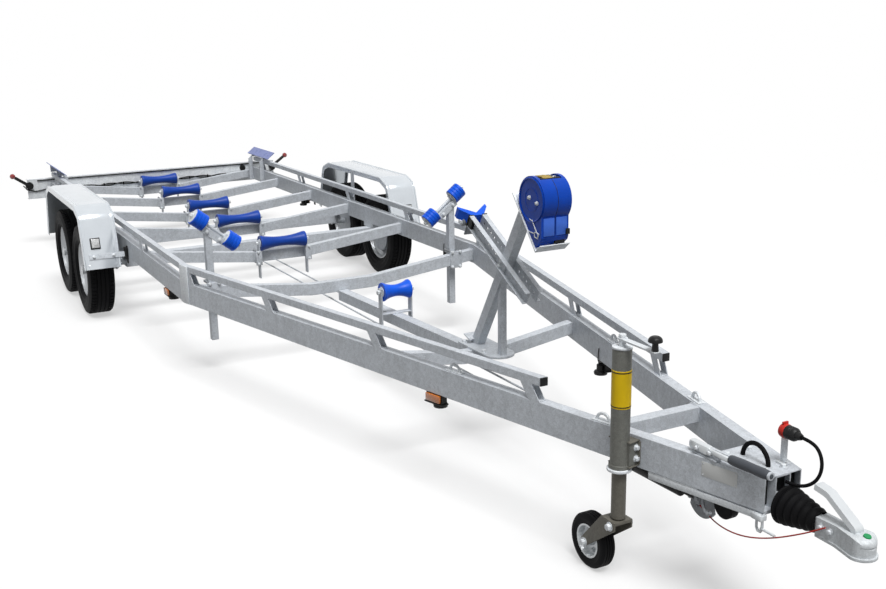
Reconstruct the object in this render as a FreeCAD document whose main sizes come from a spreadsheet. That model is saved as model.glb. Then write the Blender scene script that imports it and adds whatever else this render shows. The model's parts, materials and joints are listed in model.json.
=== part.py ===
# Boat trailer with two braked axles, hourglass keel rollers, side rollers, winch stand and jockey wheel.
# Millimetres, +X forwards to the coupling, +Y to the left, +Z up, ground at zero.
import FreeCAD, Part
import math
import os
from FreeCAD import Matrix, Placement, Rotation, Vector

doc = FreeCAD.newDocument("BoatTrailer")
sheet = doc.addObject("Spreadsheet::Sheet", "dims")
X_AXIS = Vector(1, 0, 0)
Y_AXIS = Vector(0, 1, 0)
Z_AXIS = Vector(0, 0, 1)
RIGHT = -1
LEFT = 1
SIDES = {"right": RIGHT, "left": LEFT}


class Size(float):
    # A length that also knows the name of its cell in the sheet.
    alias = ""


def cell(alias, value):
    row = len(cell.rows) + 1
    cell.rows.append(alias)
    sheet.set("A%d" % row, alias)
    sheet.set("B%d" % row, repr(float(value)))
    sheet.setAlias("B%d" % row, alias)
    size = Size(value)
    size.alias = alias
    return size


cell.rows = []

# Driving sizes: frame
beam_height = cell("beam_height", 120.0)
beam_width = cell("beam_width", 50.0)
beam_wall = cell("beam_wall", 4.0)
beam_top = cell("beam_top", 575.0)
frame_half_width = cell("frame_half_width", 980.0)
nose_half_width = cell("nose_half_width", 80.0)
draw_length = cell("draw_length", 3670.0)
bed_length = cell("bed_length", 4550.0)
rail_size = cell("rail_size", 35.0)
rail_wall = cell("rail_wall", 3.0)
rail_gap = cell("rail_gap", 66.0)
rail_front_inset = cell("rail_front_inset", 970.0)
rail_rear_inset = cell("rail_rear_inset", 110.0)
support_length = cell("support_length", 60.0)
support_rake = cell("support_rake", 45.0)
fit_gap = cell("fit_gap", 0.3)
overrun = cell("overrun", 10.0)

# Driving sizes: cross members and keel rollers
cross_height = cell("cross_height", 70.0)
cross_width = cell("cross_width", 50.0)
cross_wall = cell("cross_wall", 4.0)
cross_end_drop = cell("cross_end_drop", 30.0)
cross_mid_drop = cell("cross_mid_drop", 115.0)
cross_flat_half = cell("cross_flat_half", 200.0)
roller_half_length = cell("roller_half_length", 165.0)
roller_end_radius = cell("roller_end_radius", 52.0)
roller_waist_radius = cell("roller_waist_radius", 33.0)
roller_height = cell("roller_height", 523.0)
roller_pin_radius = cell("roller_pin_radius", 10.0)
pin_clearance = cell("pin_clearance", 0.5)
roller_ahead = cell("roller_ahead", 45.0)
rear_roller_inset = cell("rear_roller_inset", 82.0)
strap_width = cell("strap_width", 40.0)
strap_thickness = cell("strap_thickness", 8.0)
strap_bottom = cell("strap_bottom", 280.0)
side_gap = cell("side_gap", 4.0)

# Driving sizes: wheels, axles and mudguards
tyre_radius = cell("tyre_radius", 318.0)
tyre_width = cell("tyre_width", 185.0)
tyre_shoulder = cell("tyre_shoulder", 34.0)
rim_radius = cell("rim_radius", 190.0)
rim_wall = cell("rim_wall", 7.0)
rim_hole_radius = cell("rim_hole_radius", 17.0)
rim_hole_circle = cell("rim_hole_circle", 125.0)
hub_radius = cell("hub_radius", 50.0)
hub_cap_radius = cell("hub_cap_radius", 32.0)
drum_radius = cell("drum_radius", 128.0)
drum_width = cell("drum_width", 62.0)
wheel_offset = cell("wheel_offset", 170.0)
front_axle_share = 0.4
axle_spacing = cell("axle_spacing", 730.0)
axle_tube = cell("axle_tube", 80.0)
axle_drop = cell("axle_drop", 34.0)
guard_clear = cell("guard_clear", 55.0)
guard_width = cell("guard_width", 237.0)
guard_top = cell("guard_top", 800.0)
guard_flat = cell("guard_flat", 157.0)
guard_shoulder = cell("guard_shoulder", 287.0)
guard_shoulder_drop = cell("guard_shoulder_drop", 50.0)
guard_reach = cell("guard_reach", 397.0)
guard_base = cell("guard_base", 395.0)
guard_top_bend = cell("guard_top_bend", 110.0)
guard_front_bend = cell("guard_front_bend", 75.0)
guard_wall = cell("guard_wall", 5.0)
guard_lip = cell("guard_lip", 35.0)
stay_height = cell("stay_height", 475.0)
stay_depth = cell("stay_depth", 36.0)

# Driving sizes: rear light bar and lamps
bar_height = cell("bar_height", 180.0)
bar_depth = cell("bar_depth", 55.0)
bar_wall = cell("bar_wall", 3.0)
bar_overhang = cell("bar_overhang", 205.0)
bar_top = cell("bar_top", 612.0)
lamp_length = cell("lamp_length", 240.0)
lamp_height = cell("lamp_height", 130.0)
lamp_depth = cell("lamp_depth", 26.0)
lens_depth = cell("lens_depth", 22.0)
lamp_inset = cell("lamp_inset", 90.0)
stalk_radius = cell("stalk_radius", 14.0)
stalk_reach = cell("stalk_reach", 118.0)
stalk_rise = cell("stalk_rise", 84.0)
stalk_base_radius = cell("stalk_base_radius", 34.0)
stalk_base_depth = cell("stalk_base_depth", 24.0)
end_lens_radius = cell("end_lens_radius", 24.0)
end_lens_length = cell("end_lens_length", 36.0)
guide_length = cell("guide_length", 590.0)
guide_width = cell("guide_width", 92.0)
guide_wall = cell("guide_wall", 6.0)
guide_inset = cell("guide_inset", 19.0)
guide_height = cell("guide_height", 729.0)
guide_tilt = cell("guide_tilt", 38.0)
guide_post = cell("guide_post", 40.0)

# Driving sizes: side rollers on their posts
post_size = cell("post_size", 40.0)
post_inset = cell("post_inset", 180.0)
post_bottom = cell("post_bottom", 190.0)
post_top = cell("post_top", 830.0)
side_tilt = cell("side_tilt", 37.8)
side_roller_radius = cell("side_roller_radius", 50.0)
side_roller_width = cell("side_roller_width", 80.0)
side_roller_rib = cell("side_roller_rib", 3.0)
side_rod_radius = cell("side_rod_radius", 9.0)
side_roller_apart = cell("side_roller_apart", 232.0)
side_head_height = cell("side_head_height", 842.0)
side_head_inset = cell("side_head_inset", 47.0)

# Driving sizes: keel beam, winch stand and winch
keel_size = cell("keel_size", 60.0)
keel_front_top = cell("keel_front_top", 468.0)
keel_rear_top = cell("keel_rear_top", 400.0)
winch_station = cell("winch_station", 1720.0)
winch_mid_drop = cell("winch_mid_drop", 85.0)
winch_flat_half = cell("winch_flat_half", 120.0)
base_length = cell("base_length", 330.0)
base_width = cell("base_width", 150.0)
base_wall = cell("base_wall", 10.0)
column_depth = cell("column_depth", 50.0)
column_width = cell("column_width", 44.0)
column_lean = cell("column_lean", 31.5)
strut_size = cell("strut_size", 30.0)
slide_length = cell("slide_length", 560.0)
slide_height = cell("slide_height", 60.0)
slide_flange = cell("slide_flange", 24.0)
slide_wall = cell("slide_wall", 4.0)
slide_droop = cell("slide_droop", 28.6)
slide_hole_radius = cell("slide_hole_radius", 7.0)
slide_hole_pitch = cell("slide_hole_pitch", 35.0)
slide_drop = cell("slide_drop", 335.0)
stop_half_width = cell("stop_half_width", 75.0)
stop_length = cell("stop_length", 95.0)
stop_wall = cell("stop_wall", 20.0)
winch_height = cell("winch_height", 1285.0)
winch_reach = cell("winch_reach", 101.0)
winch_radius = cell("winch_radius", 100.0)
winch_half_width = cell("winch_half_width", 68.0)
winch_chamber_radius = cell("winch_chamber_radius", 62.0)
winch_cheek = cell("winch_cheek", 15.0)
winch_drum_radius = cell("winch_drum_radius", 42.0)
winch_mouth = cell("winch_mouth", 92.0)
winch_plate_wall = cell("winch_plate_wall", 6.0)

# Driving sizes: coupling, overrun gear and jockey wheel
coupling_length = cell("coupling_length", 210.0)
coupling_height = cell("coupling_height", 475.0)
ball_radius = cell("ball_radius", 25.2)
coupling_wall = cell("coupling_wall", 9.0)
bellows_length = cell("bellows_length", 170.0)
bellows_radius = cell("bellows_radius", 57.0)
bellows_end_radius = cell("bellows_end_radius", 42.0)
bellows_folds = 5
shaft_radius = cell("shaft_radius", 25.0)
jockey_inset = cell("jockey_inset", 530.0)
jockey_clear = cell("jockey_clear", 52.0)
jockey_tube_radius = cell("jockey_tube_radius", 35.0)
jockey_tube_wall = cell("jockey_tube_wall", 3.0)
jockey_tube_top = cell("jockey_tube_top", 912.0)
jockey_tube_bottom = cell("jockey_tube_bottom", 446.0)
jockey_inner_radius = cell("jockey_inner_radius", 27.0)
jockey_inner_bottom = cell("jockey_inner_bottom", 262.0)
jockey_inner_top = cell("jockey_inner_top", 750.0)
jockey_trail = cell("jockey_trail", 150.0)
jockey_wheel_radius = cell("jockey_wheel_radius", 107.5)
jockey_wheel_width = cell("jockey_wheel_width", 62.0)
jockey_rim_radius = cell("jockey_rim_radius", 66.0)
crank_length = cell("crank_length", 178.0)
plate_wall = cell("plate_wall", 6.0)

# Places that follow from the driving sizes
draw_angle = math.degrees(math.atan2(frame_half_width - nose_half_width, draw_length))
tail_reach = bed_length + bar_depth + lamp_depth + lens_depth
nose_reach = draw_length + bellows_length + coupling_length
mid_shift = (tail_reach - nose_reach) / 2
beam_bottom = beam_top - beam_height
rail_bottom = beam_top + rail_gap
rail_top = rail_bottom + rail_size
inner_half_width = frame_half_width - beam_width
rail_front = draw_length - rail_front_inset
rail_rear = bed_length - rail_rear_inset
track_half = frame_half_width + wheel_offset
front_axle_back = bed_length * front_axle_share
guard_inner = frame_half_width + guard_clear
guard_outer = guard_inner + guard_width
bar_half_length = frame_half_width + bar_overhang
guide_half_gauge = frame_half_width - guide_inset
post_half_gauge = frame_half_width - post_inset
side_head_half_gauge = post_half_gauge - side_head_inset
jockey_forward = draw_length - jockey_inset
draw_taper = (frame_half_width - nose_half_width) / draw_length
jockey_out = frame_half_width - draw_taper * jockey_forward + jockey_clear


def at(x, y, z):
    # A point given from the bend of the frame, moved so that the origin is under the middle.
    return Vector(x + mid_shift, y, z)


def axes(origin, along, across):
    # A place whose own X runs along and whose own Y lies across.
    along = Vector(along).normalize()
    out = along.cross(Vector(across)).normalize()
    side = out.cross(along)
    turn = Matrix(along.x, side.x, out.x, 0, along.y, side.y, out.y, 0, along.z, side.z, out.z, 0, 0, 0, 0, 1)
    return Placement(origin, Rotation(turn))


def bound(item, **sizes):
    for prop, value in sizes.items():
        size = value if isinstance(value, Size) else cell("%s_%s" % (item.Name.lower(), prop.lower()), value)
        item.setExpression(prop, "dims." + size.alias)
    return item


def block(name, length, width, height, centre, place=Placement()):
    # A box about a centre, in the axes of a place.
    item = doc.addObject("Part::Box", name)
    bound(item, Length=length, Width=width, Height=height)
    corner = Vector(centre) - Vector(length, width, height) * 0.5
    item.Placement = place.multiply(Placement(corner, Rotation()))
    return item


def rod(name, radius, length, start, direction):
    item = doc.addObject("Part::Cylinder", name)
    bound(item, Radius=radius, Height=length)
    item.Placement = Placement(start, Rotation(Z_AXIS, Vector(direction)))
    return item


def cone(name, radius1, radius2, length, start, direction):
    item = doc.addObject("Part::Cone", name)
    bound(item, Radius1=radius1, Radius2=radius2, Height=length)
    item.Placement = Placement(start, Rotation(Z_AXIS, Vector(direction)))
    return item


def fused(name, *shapes):
    item = doc.addObject("Part::MultiFuse", name)
    item.Shapes = list(shapes)
    return item


def apart(name, *shapes):
    # Like pieces that share a node and don't touch.
    item = doc.addObject("Part::Compound", name)
    item.Links = list(shapes)
    return item


def less(name, base, *tools):
    item = doc.addObject("Part::Cut", name)
    item.Base = base
    item.Tool = tools[0] if len(tools) == 1 else fused(name + "_voids", *tools)
    return item


def pipe(name, radius, wall, length, start, direction):
    # A round tube, open at both ends.
    unit = Vector(direction).normalize()
    outer = rod(name + "_outer", radius, length, start, unit)
    bore = rod(name + "_bore", radius - wall, length + 2 * overrun, start - unit * overrun, unit)
    return less(name, outer, bore)


def sketch_on(body, name, outline, closed=True):
    # Lines and arcs in the body's XY plane. An outline is points, and ("arc", through, end) entries.
    sketch = body.newObject("Sketcher::SketchObject", name)
    plane = [f for f in body.Origin.OriginFeatures if f.Role == "XY_Plane"][0]
    sketch.AttachmentSupport = (plane, [""])
    sketch.MapMode = "FlatFace"
    here = Vector(*outline[0], 0)
    first = here
    steps = list(outline[1:])
    last = steps[-1][2] if steps[-1][0] == "arc" else steps[-1]
    if closed and (Vector(*last, 0) - first).Length > fit_gap:
        steps.append(outline[0])
    count = 0
    for step in steps:
        if step[0] == "arc":
            end = Vector(*step[2], 0)
            edge = Part.Arc(here, Vector(*step[1], 0), end)
        else:
            end = Vector(*step, 0)
            edge = Part.LineSegment(here, end)
        sketch.addGeometry(edge, False)
        count += 1
        here = end
    return sketch


def pressed(name, outline, thickness, place, both_ways=False):
    # A flat outline padded to a thickness.
    body = doc.addObject("PartDesign::Body", name)
    sketch = sketch_on(body, name + "_outline", outline)
    pad = body.newObject("PartDesign::Pad", name + "_pad")
    pad.Profile = sketch
    bound(pad, Length=thickness)
    pad.Midplane = both_ways
    body.Placement = place
    return body


def turned(name, outline, place):
    # An outline of (along, radius) points, turned about its own X axis.
    body = doc.addObject("PartDesign::Body", name)
    sketch = sketch_on(body, name + "_outline", outline)
    spin = body.newObject("PartDesign::Revolution", name + "_spin")
    spin.Profile = sketch
    spin.ReferenceAxis = (sketch, ["H_Axis"])
    spin.Angle = 360.0
    body.Placement = place
    return body


def eased(points, radii):
    # A closed outline whose corners are rounded, each by its own radius. Nought leaves a corner sharp.
    outline = []
    for index, (corner, radius) in enumerate(zip(points, radii)):
        here = Vector(*corner, 0)
        back = (Vector(*points[index - 1], 0) - here).normalize()
        ahead = (Vector(*points[(index + 1) % len(points)], 0) - here).normalize()
        if not radius:
            outline.append((here.x, here.y))
            continue
        half_turn = (math.pi - back.getAngle(ahead)) / 2
        start = here + back * (radius * math.tan(half_turn))
        end = here + ahead * (radius * math.tan(half_turn))
        middle = here + (back + ahead).normalize() * (radius / math.cos(half_turn) - radius)
        outline.append((start.x, start.y))
        outline.append(("arc", (middle.x, middle.y), (end.x, end.y)))
    return outline


def beside(points, depth):
    # An open line of points moved to its left by a depth, corner by corner.
    moved = []
    for index, corner in enumerate(points):
        here = Vector(*corner, 0)
        lines = []
        if index > 0:
            lines.append((here - Vector(*points[index - 1], 0)).normalize())
        if index < len(points) - 1:
            lines.append((Vector(*points[index + 1], 0) - here).normalize())
        mean = (Vector(-lines[0].y, lines[0].x, 0) + Vector(-lines[-1].y, lines[-1].x, 0)) / 2
        spot = here + mean * (depth / mean.dot(mean))
        moved.append((spot.x, spot.y))
    return moved


def bent_strip(line, depth, bends):
    # A strip of a given depth to the left of a line. Its inner side has smaller bends, about the same centres.
    inner_bends = [max(bend - depth, 0) for bend in bends]
    return eased(list(line) + beside(line, depth)[::-1], bends + inner_bends[::-1])


NODES = {}


def node(label, item):
    item.Label = label
    NODES[label] = item
    return item


def beam_outline(side, outer, width, rear, front):
    # A plan strip that follows the side of the frame: straight along the bed, then in along the draw bar.
    angle = math.radians(draw_angle)
    slope = math.tan(angle)
    inner = outer - width
    mitre = -width * math.tan(angle / 2)
    front_outer = outer - slope * front
    front_inner = front_outer - width / math.cos(angle)
    points = [(-rear, outer), (0, outer), (front, front_outer), (front, front_inner), (mitre, inner),
              (-rear, inner)]
    return [(x + mid_shift, side * y) for x, y in points]


def hollow_run(name, side, width, height, wall, bottom, rear, front):
    # A square-cornered tube along the side of the frame, open at both ends.
    skin = pressed(name + "_skin", beam_outline(side, frame_half_width, width, rear, front), height,
                   Placement(Vector(0, 0, bottom), Rotation()))
    core_outline = beam_outline(side, frame_half_width - wall, width - 2 * wall, rear + overrun,
                                front + overrun)
    core = pressed(name + "_core", core_outline, height - 2 * wall,
                   Placement(Vector(0, 0, bottom + wall), Rotation()))
    return skin, core


def on_draw_bar(side, along):
    # A place on the outer face of the frame's side, by its distance from the bend.
    if along <= 0:
        return axes(at(along, side * frame_half_width, beam_top), X_AXIS, Y_AXIS)
    angle = math.radians(draw_angle)
    line = Vector(math.cos(angle), -side * math.sin(angle), 0)
    return axes(at(0, side * frame_half_width, beam_top) + line * along, line, Vector(0, 0, 1).cross(line))


rail_station_shares = (-0.93, -0.70, -0.46, -0.225)
draw_station_shares = (0.016, 0.235, 0.475)


def support(name, side, along):
    # A short raked piece of box tube between beam and rail, open along the beam.
    place = on_draw_bar(side, along)
    outline = [(0, 0), (support_length, 0), (support_length - support_rake, rail_gap),
               (-support_rake, rail_gap)]
    inward = -side
    flat = axes(place.Base, place.Rotation.multVec(X_AXIS), Z_AXIS)
    piece = pressed(name + "_tube", outline, rail_size, flat)
    if inward * piece.Placement.Rotation.multVec(Z_AXIS).y < 0:
        piece.Placement = Placement(place.Base + place.Rotation.multVec(Y_AXIS) * rail_size * inward,
                                    flat.Rotation)
    hole = block(name + "_hole", support_length * 3, rail_size - 2 * rail_wall, rail_gap - 2 * rail_wall,
                 Vector(0, inward * rail_size / 2, rail_gap / 2), place)
    return piece, hole


for word, side in SIDES.items():
    skin, core = hollow_run("beam_" + word, side, beam_width, beam_height, beam_wall, beam_bottom,
                            bed_length, draw_length)
    node("main_beam_" + word, less("main_beam_" + word, skin, core))
    skin, core = hollow_run("rail_" + word, side, rail_size, rail_size, rail_wall, rail_bottom, rail_rear,
                            rail_front)
    stations = [share * bed_length for share in rail_station_shares]
    stations += [share * draw_length for share in draw_station_shares]
    stations.append(rail_front / math.cos(math.radians(draw_angle)) - support_length)
    solids = [skin]
    voids = [core]
    for index, along in enumerate(stations):
        piece, hole = support("support_%s_%d" % (word, index), side, along)
        solids.append(piece)
        voids.append(hole)
    node("side_rail_" + word, less("side_rail_" + word, fused("rail_solid_" + word, *solids), *voids))

# Cross members with a dropped middle, from beam to beam
inner_face = inner_half_width
keel_station_shares = (0.232, 0.448, 0.624, 0.812)
keel_stations = [-share * bed_length for share in keel_station_shares]
keel_stations.append(rear_roller_inset - bed_length)


def dropped_member(name, half_length, flat_half, end_top, mid_top, height, width, wall, station):
    # A box tube bent down to a flat middle, across the frame.
    def outline(inset, reach):
        slope = (end_top - mid_top) / (half_length - flat_half)
        tip = end_top + slope * reach
        upper = [(-half_length - reach, tip - inset), (-flat_half, mid_top - inset),
                 (flat_half, mid_top - inset), (half_length + reach, tip - inset)]
        lower = [(y, z - height + 2 * inset) for y, z in reversed(upper)]
        return upper + lower
    skin = pressed(name + "_skin", outline(0, 0), width, axes(at(station - width / 2, 0, 0), Y_AXIS, Z_AXIS))
    core = pressed(name + "_core", outline(wall, overrun), width - 2 * wall,
                   axes(at(station - width / 2 + wall, 0, 0), Y_AXIS, Z_AXIS))
    return less(name, skin, core)


cross_end_top = beam_top - cross_end_drop
cross_mid_top = beam_top - cross_mid_drop
members = []
front_member = -cross_width * 0.65
for index, station in enumerate([front_member] + [x - roller_ahead for x in keel_stations]):
    members.append(dropped_member("cross_member_%d" % index, inner_face, cross_flat_half, cross_end_top,
                                  cross_mid_top, cross_height, cross_width, cross_wall, station))
node("cross_members", apart("cross_members", *members))


def hourglass(name, half_length, end_radius, waist_radius, place):
    flange = half_length * 0.09
    bore = roller_pin_radius + pin_clearance
    outline = [(-half_length, bore), (-half_length, end_radius), (flange - half_length, end_radius),
               ("arc", (0, waist_radius), (half_length - flange, end_radius)),
               (half_length, end_radius), (half_length, bore)]
    return turned(name, outline, place)


def roller_yoke(name, station, half_length, height, bottom):
    # Two straps with the roller's pin between them.
    centre = half_length + side_gap + strap_thickness / 2
    tall = height + strap_width / 2 - bottom
    straps = [block("%s_strap_%s" % (name, word), strap_width, strap_thickness, tall,
                    at(station, side * centre, bottom + tall / 2)) for word, side in SIDES.items()]
    pin = rod(name + "_pin", roller_pin_radius, 2 * centre, at(station, -centre, height), Y_AXIS)
    return fused(name, pin, *straps)


yokes = []
for index, station in enumerate(keel_stations, 1):
    yokes.append(roller_yoke("keel_yoke_%d" % index, station, roller_half_length, roller_height,
                             strap_bottom))
    place = axes(at(station, 0, roller_height), Y_AXIS, Z_AXIS)
    node("keel_roller_%d" % index, hourglass("keel_roller_%d" % index, roller_half_length, roller_end_radius,
                                             roller_waist_radius, place))

# Keel beam down the middle of the draw bar, with the bow roller
bow_station_share = 0.2045
bow_half_length_share = 0.5
keel_rise = keel_front_top - keel_rear_top
keel_run = winch_station - cross_width / 2 - keel_size * 0.028
keel_line = Vector(keel_run, 0, keel_rise)
keel_place = axes(at(0, 0, keel_rear_top), keel_line, Y_AXIS)
keel_length = keel_line.Length
keel_skin = block("keel_skin", keel_length, keel_size, keel_size,
                  Vector(keel_length / 2, 0, -keel_size / 2), keel_place)
keel_core = block("keel_core", keel_length + 2 * overrun, keel_size - 2 * beam_wall,
                  keel_size - 2 * beam_wall,
                  Vector(keel_length / 2, 0, -keel_size / 2), keel_place)
node("keel_beam", less("keel_beam", keel_skin, keel_core))
bow_station = draw_length * bow_station_share
bow_half_length = roller_half_length * bow_half_length_share
bow_height = cell("bow_height", 560.0)
bow_bottom = cell("bow_bottom", 335.0)
bow_place = axes(at(bow_station, 0, bow_height), Y_AXIS, Z_AXIS)
node("bow_roller", hourglass("bow_roller", bow_half_length, roller_end_radius, roller_waist_radius,
                             bow_place))
bow_yoke = roller_yoke("bow_yoke", bow_station, bow_half_length, bow_height, bow_bottom)
clamp_wide = 2 * (bow_half_length + side_gap)
clamp_top = keel_rear_top + keel_rise * bow_station / keel_run
clamp = block("bow_clamp", strap_width, clamp_wide, plate_wall,
              at(bow_station, 0, clamp_top + plate_wall / 2 + strap_width / 2 * keel_rise / keel_run + fit_gap / 2))
yokes.append(fused("bow_bracket", bow_yoke, clamp))
node("roller_yokes", apart("roller_yokes", *yokes))

# Winch tie and nose tie across the draw bar
def draw_half(along):
    # Inner face of the draw bar at a distance in front of the bend.
    angle = math.radians(draw_angle)
    return frame_half_width - math.tan(angle) * along - beam_width / math.cos(angle)


winch_tie = dropped_member("winch_tie", draw_half(winch_station + cross_width / 2), winch_flat_half,
                           cross_end_top,
                           beam_top - winch_mid_drop, keel_size, cross_width, cross_wall, winch_station)
nose_tie_share = 0.825
nose_tie_station = draw_length * nose_tie_share
nose_tie_half = draw_half(nose_tie_station + cross_width / 2)
nose_tie = less("nose_tie",
                block("nose_tie_skin", cross_width, 2 * nose_tie_half, keel_size,
                      at(nose_tie_station, 0, beam_top - keel_size / 2)),
                block("nose_tie_core", cross_width - 2 * cross_wall, 2 * nose_tie_half + 2 * overrun,
                      keel_size - 2 * cross_wall, at(nose_tie_station, 0, beam_top - keel_size / 2)))
node("draw_bar_ties", apart("draw_bar_ties", winch_tie, nose_tie))

# Road wheels on two braked axles
axle_stations = {"front": -front_axle_back, "rear": -front_axle_back - axle_spacing}
axles = []


def tyre_outline():
    half = tyre_width / 2
    bead = half * 0.7
    inner = rim_radius + fit_gap
    wall_mid = (inner + tyre_radius) / 2
    crown = half * 0.72
    shoulder = tyre_radius - tyre_shoulder * 0.9
    return [(-bead, inner), ("arc", (-half, wall_mid), (-half * 0.9, shoulder)),
            ("arc", (-half * 0.84, tyre_radius - tyre_shoulder * 0.25), (-crown, tyre_radius)),
            (crown, tyre_radius),
            ("arc", (half * 0.84, tyre_radius - tyre_shoulder * 0.25), (half * 0.9, shoulder)),
            ("arc", (half, wall_mid), (bead, inner))]


def rim_outline():
    # Barrel with a dropped middle, and a disc set towards the outside.
    half = tyre_width / 2 * 0.7
    well = rim_radius * 0.84
    disc = half * 0.28
    deep = rim_wall
    return [(-half, rim_radius), (-half * 0.6, rim_radius - deep), (-half * 0.3, well), (half * 0.3, well),
            (half * 0.6, rim_radius - deep), (half, rim_radius), (half, rim_radius - deep),
            (half * 0.7, rim_radius - 2 * deep), (disc + deep, well - deep), (disc + deep * 2, well * 0.78),
            (disc + deep * 0.6, well * 0.55), (disc + deep, hub_radius), (disc, hub_radius),
            (disc - deep * 0.6, well * 0.55), (disc + deep, well * 0.78), (disc, well - deep),
            (-half * 0.3, well - deep), (-half * 0.6, rim_radius - 2 * deep), (-half, rim_radius - deep)]


def road_wheel(name, station, side):
    place = axes(at(station, side * track_half, tyre_radius), Y_AXIS * side, Z_AXIS)
    node("tyre_" + name, turned("tyre_" + name, tyre_outline(), place))
    dish = turned("rim_dish_" + name, rim_outline(), place)
    holes = []
    for turn in range(8):
        angle = math.radians(turn * 45 + 22.5)
        start = place.multVec(Vector(-tyre_width / 2, rim_hole_circle * math.cos(angle),
                                     rim_hole_circle * math.sin(angle)))
        holes.append(rod("rim_hole_%s_%d" % (name, turn), rim_hole_radius, tyre_width, start, Y_AXIS * side))
    dish = less("rim_holed_" + name, dish, *holes)
    half = tyre_width / 2 * 0.7
    disc = half * 0.28
    bore = axle_stub + pin_clearance
    hub = turned("hub_" + name, [(disc - drum_width, bore), (disc - drum_width, drum_radius),
                                 (disc, drum_radius),
                                 (disc, hub_radius), (disc + rim_wall, hub_radius),
                                 (disc + rim_wall, hub_cap_radius), (disc + drum_width, hub_cap_radius),
                                 (disc + drum_width, 0), (disc + drum_width / 2, 0),
                                 (disc + drum_width / 2, bore)], place)
    node("rim_" + name, fused("rim_" + name, dish, hub))


axle_stub = cell("axle_stub", 20.0)
swing_arm = cell("swing_arm", 150.0)
for word, station in axle_stations.items():
    for hand, side in SIDES.items():
        road_wheel("%s_%s" % (word, hand), station, side)
    disc = tyre_width / 2 * 0.7 * 0.28
    tube_half = frame_half_width - beam_width / 2
    tube_x = station + swing_arm
    tube_z = beam_bottom - axle_drop - axle_tube / 2
    solids = [block("axle_tube_" + word, axle_tube, 2 * tube_half, axle_tube, at(tube_x, 0, tube_z))]
    for hand, side in SIDES.items():
        name = "%s_%s" % (word, hand)
        seat_y = side * (frame_half_width - beam_width / 2)
        solids.append(block("axle_seat_" + name, 2 * axle_tube, beam_width, axle_drop,
                            at(tube_x, seat_y, beam_bottom - axle_drop / 2)))
        solids.append(rod("axle_tube_end_" + name, axle_tube * 0.36,
                          frame_half_width - tube_half + 2 * plate_wall,
                          at(tube_x, side * tube_half, tube_z), Y_AXIS * side))
        arm_line = Vector(station - tube_x, 0, tyre_radius - tube_z)
        arm_y = side * (frame_half_width + plate_wall)
        arm_place = axes(at(tube_x, arm_y, tube_z), arm_line, Y_AXIS)
        solids.append(block("axle_arm_" + name, arm_line.Length + axle_tube * 0.5, 2 * plate_wall,
                            axle_tube * 0.55,
                            Vector(arm_line.Length / 2, 0, 0), arm_place))
        stub_end = track_half + disc + drum_width / 2 - side_gap
        start_y = frame_half_width + plate_wall
        solids.append(rod("axle_stub_" + name, axle_stub, stub_end - start_y,
                          at(station, side * start_y, tyre_radius),
                          Y_AXIS * side))
        back_y = track_half + disc - drum_width - side_gap
        solids.append(rod("brake_plate_" + name, drum_radius, side_gap,
                          at(station, side * (back_y - side_gap),
                                                                          tyre_radius), Y_AXIS * side))
    axles.append(fused("axle_" + word, *solids))
node("axles", apart("axles", *axles))

# Tandem mudguards with a rolled lip on both edges, and their stays
guard_front = -front_axle_back
guard_rear = guard_front - axle_spacing


def guard_line():
    # The guard's outer side from its front foot over both wheels to its rear foot.
    half = [(guard_reach, guard_base), (guard_shoulder, guard_top - guard_shoulder_drop),
            (guard_flat, guard_top)]
    ahead = [(guard_front + mid_shift + x, z) for x, z in half]
    behind = [(guard_rear + mid_shift - x, z) for x, z in reversed(half)]
    return ahead + behind


def guard_outline(depth):
    return bent_strip(guard_line(), depth, [0, guard_front_bend, guard_top_bend, guard_top_bend,
                                            guard_front_bend, 0])


def upright(y):
    # The XZ plane at a distance across the frame; what is padded there grows to the right.
    return axes(Vector(0, y, 0), X_AXIS, Z_AXIS)


for word, side in SIDES.items():
    far_y = guard_outer if side == LEFT else -guard_inner
    near_y = guard_inner if side == LEFT else -guard_outer
    crown = pressed("guard_crown_" + word, guard_outline(guard_wall), guard_width, upright(far_y))
    lips = [pressed("guard_lip_%s_%d" % (word, index), guard_outline(guard_lip), guard_wall, upright(y))
            for index, y in enumerate((far_y, near_y + guard_wall))]
    node("mudguard_" + word, fused("mudguard_" + word, crown, *lips))

# Stay bars across the outer side of the guard's two end panels, and a bracket at the guard's middle
stay_wall = 2 * guard_wall
stay_long = guard_outer - guard_lip - frame_half_width
foot = Vector(*guard_line()[0], 0)
knee = Vector(*guard_line()[1], 0)
panel = (knee - foot).normalize()
stay_spot = foot + panel * ((stay_height - guard_base) / panel.y)
stay_spot += Vector(panel.y, -panel.x, 0) * (stay_wall / 2)
stays = []
for word, side in SIDES.items():
    for end, sign in {"front": 1, "rear": -1}.items():
        middle_x = (guard_front + guard_rear) / 2 + mid_shift
        spot_x = stay_spot.x if end == "front" else 2 * middle_x - stay_spot.x
        middle_y = side * (frame_half_width + stay_long / 2)
        place = axes(Vector(spot_x, middle_y, stay_spot.y), Y_AXIS, Vector(sign * panel.x, 0, panel.y))
        stays.append(block("guard_stay_%s_%s" % (end, word), stay_long, stay_depth, stay_wall,
                           Vector(0, 0, 0), place))
    middle = (guard_front + guard_rear) / 2
    reach = guard_clear - fit_gap
    arm = block("guard_arm_" + word, support_length, reach, support_length,
                at(middle, side * (frame_half_width + reach / 2), beam_bottom + support_length))
    tall = guard_top - guard_wall - beam_bottom - support_length / 2
    web = block("guard_web_" + word, support_length, guard_wall, tall,
                at(middle, side * (guard_inner - guard_wall / 2),
                   beam_bottom + support_length / 2 + tall / 2))
    stays.append(fused("guard_middle_stay_" + word, arm, web))
node("mudguard_stays", apart("mudguard_stays", *stays))

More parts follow.
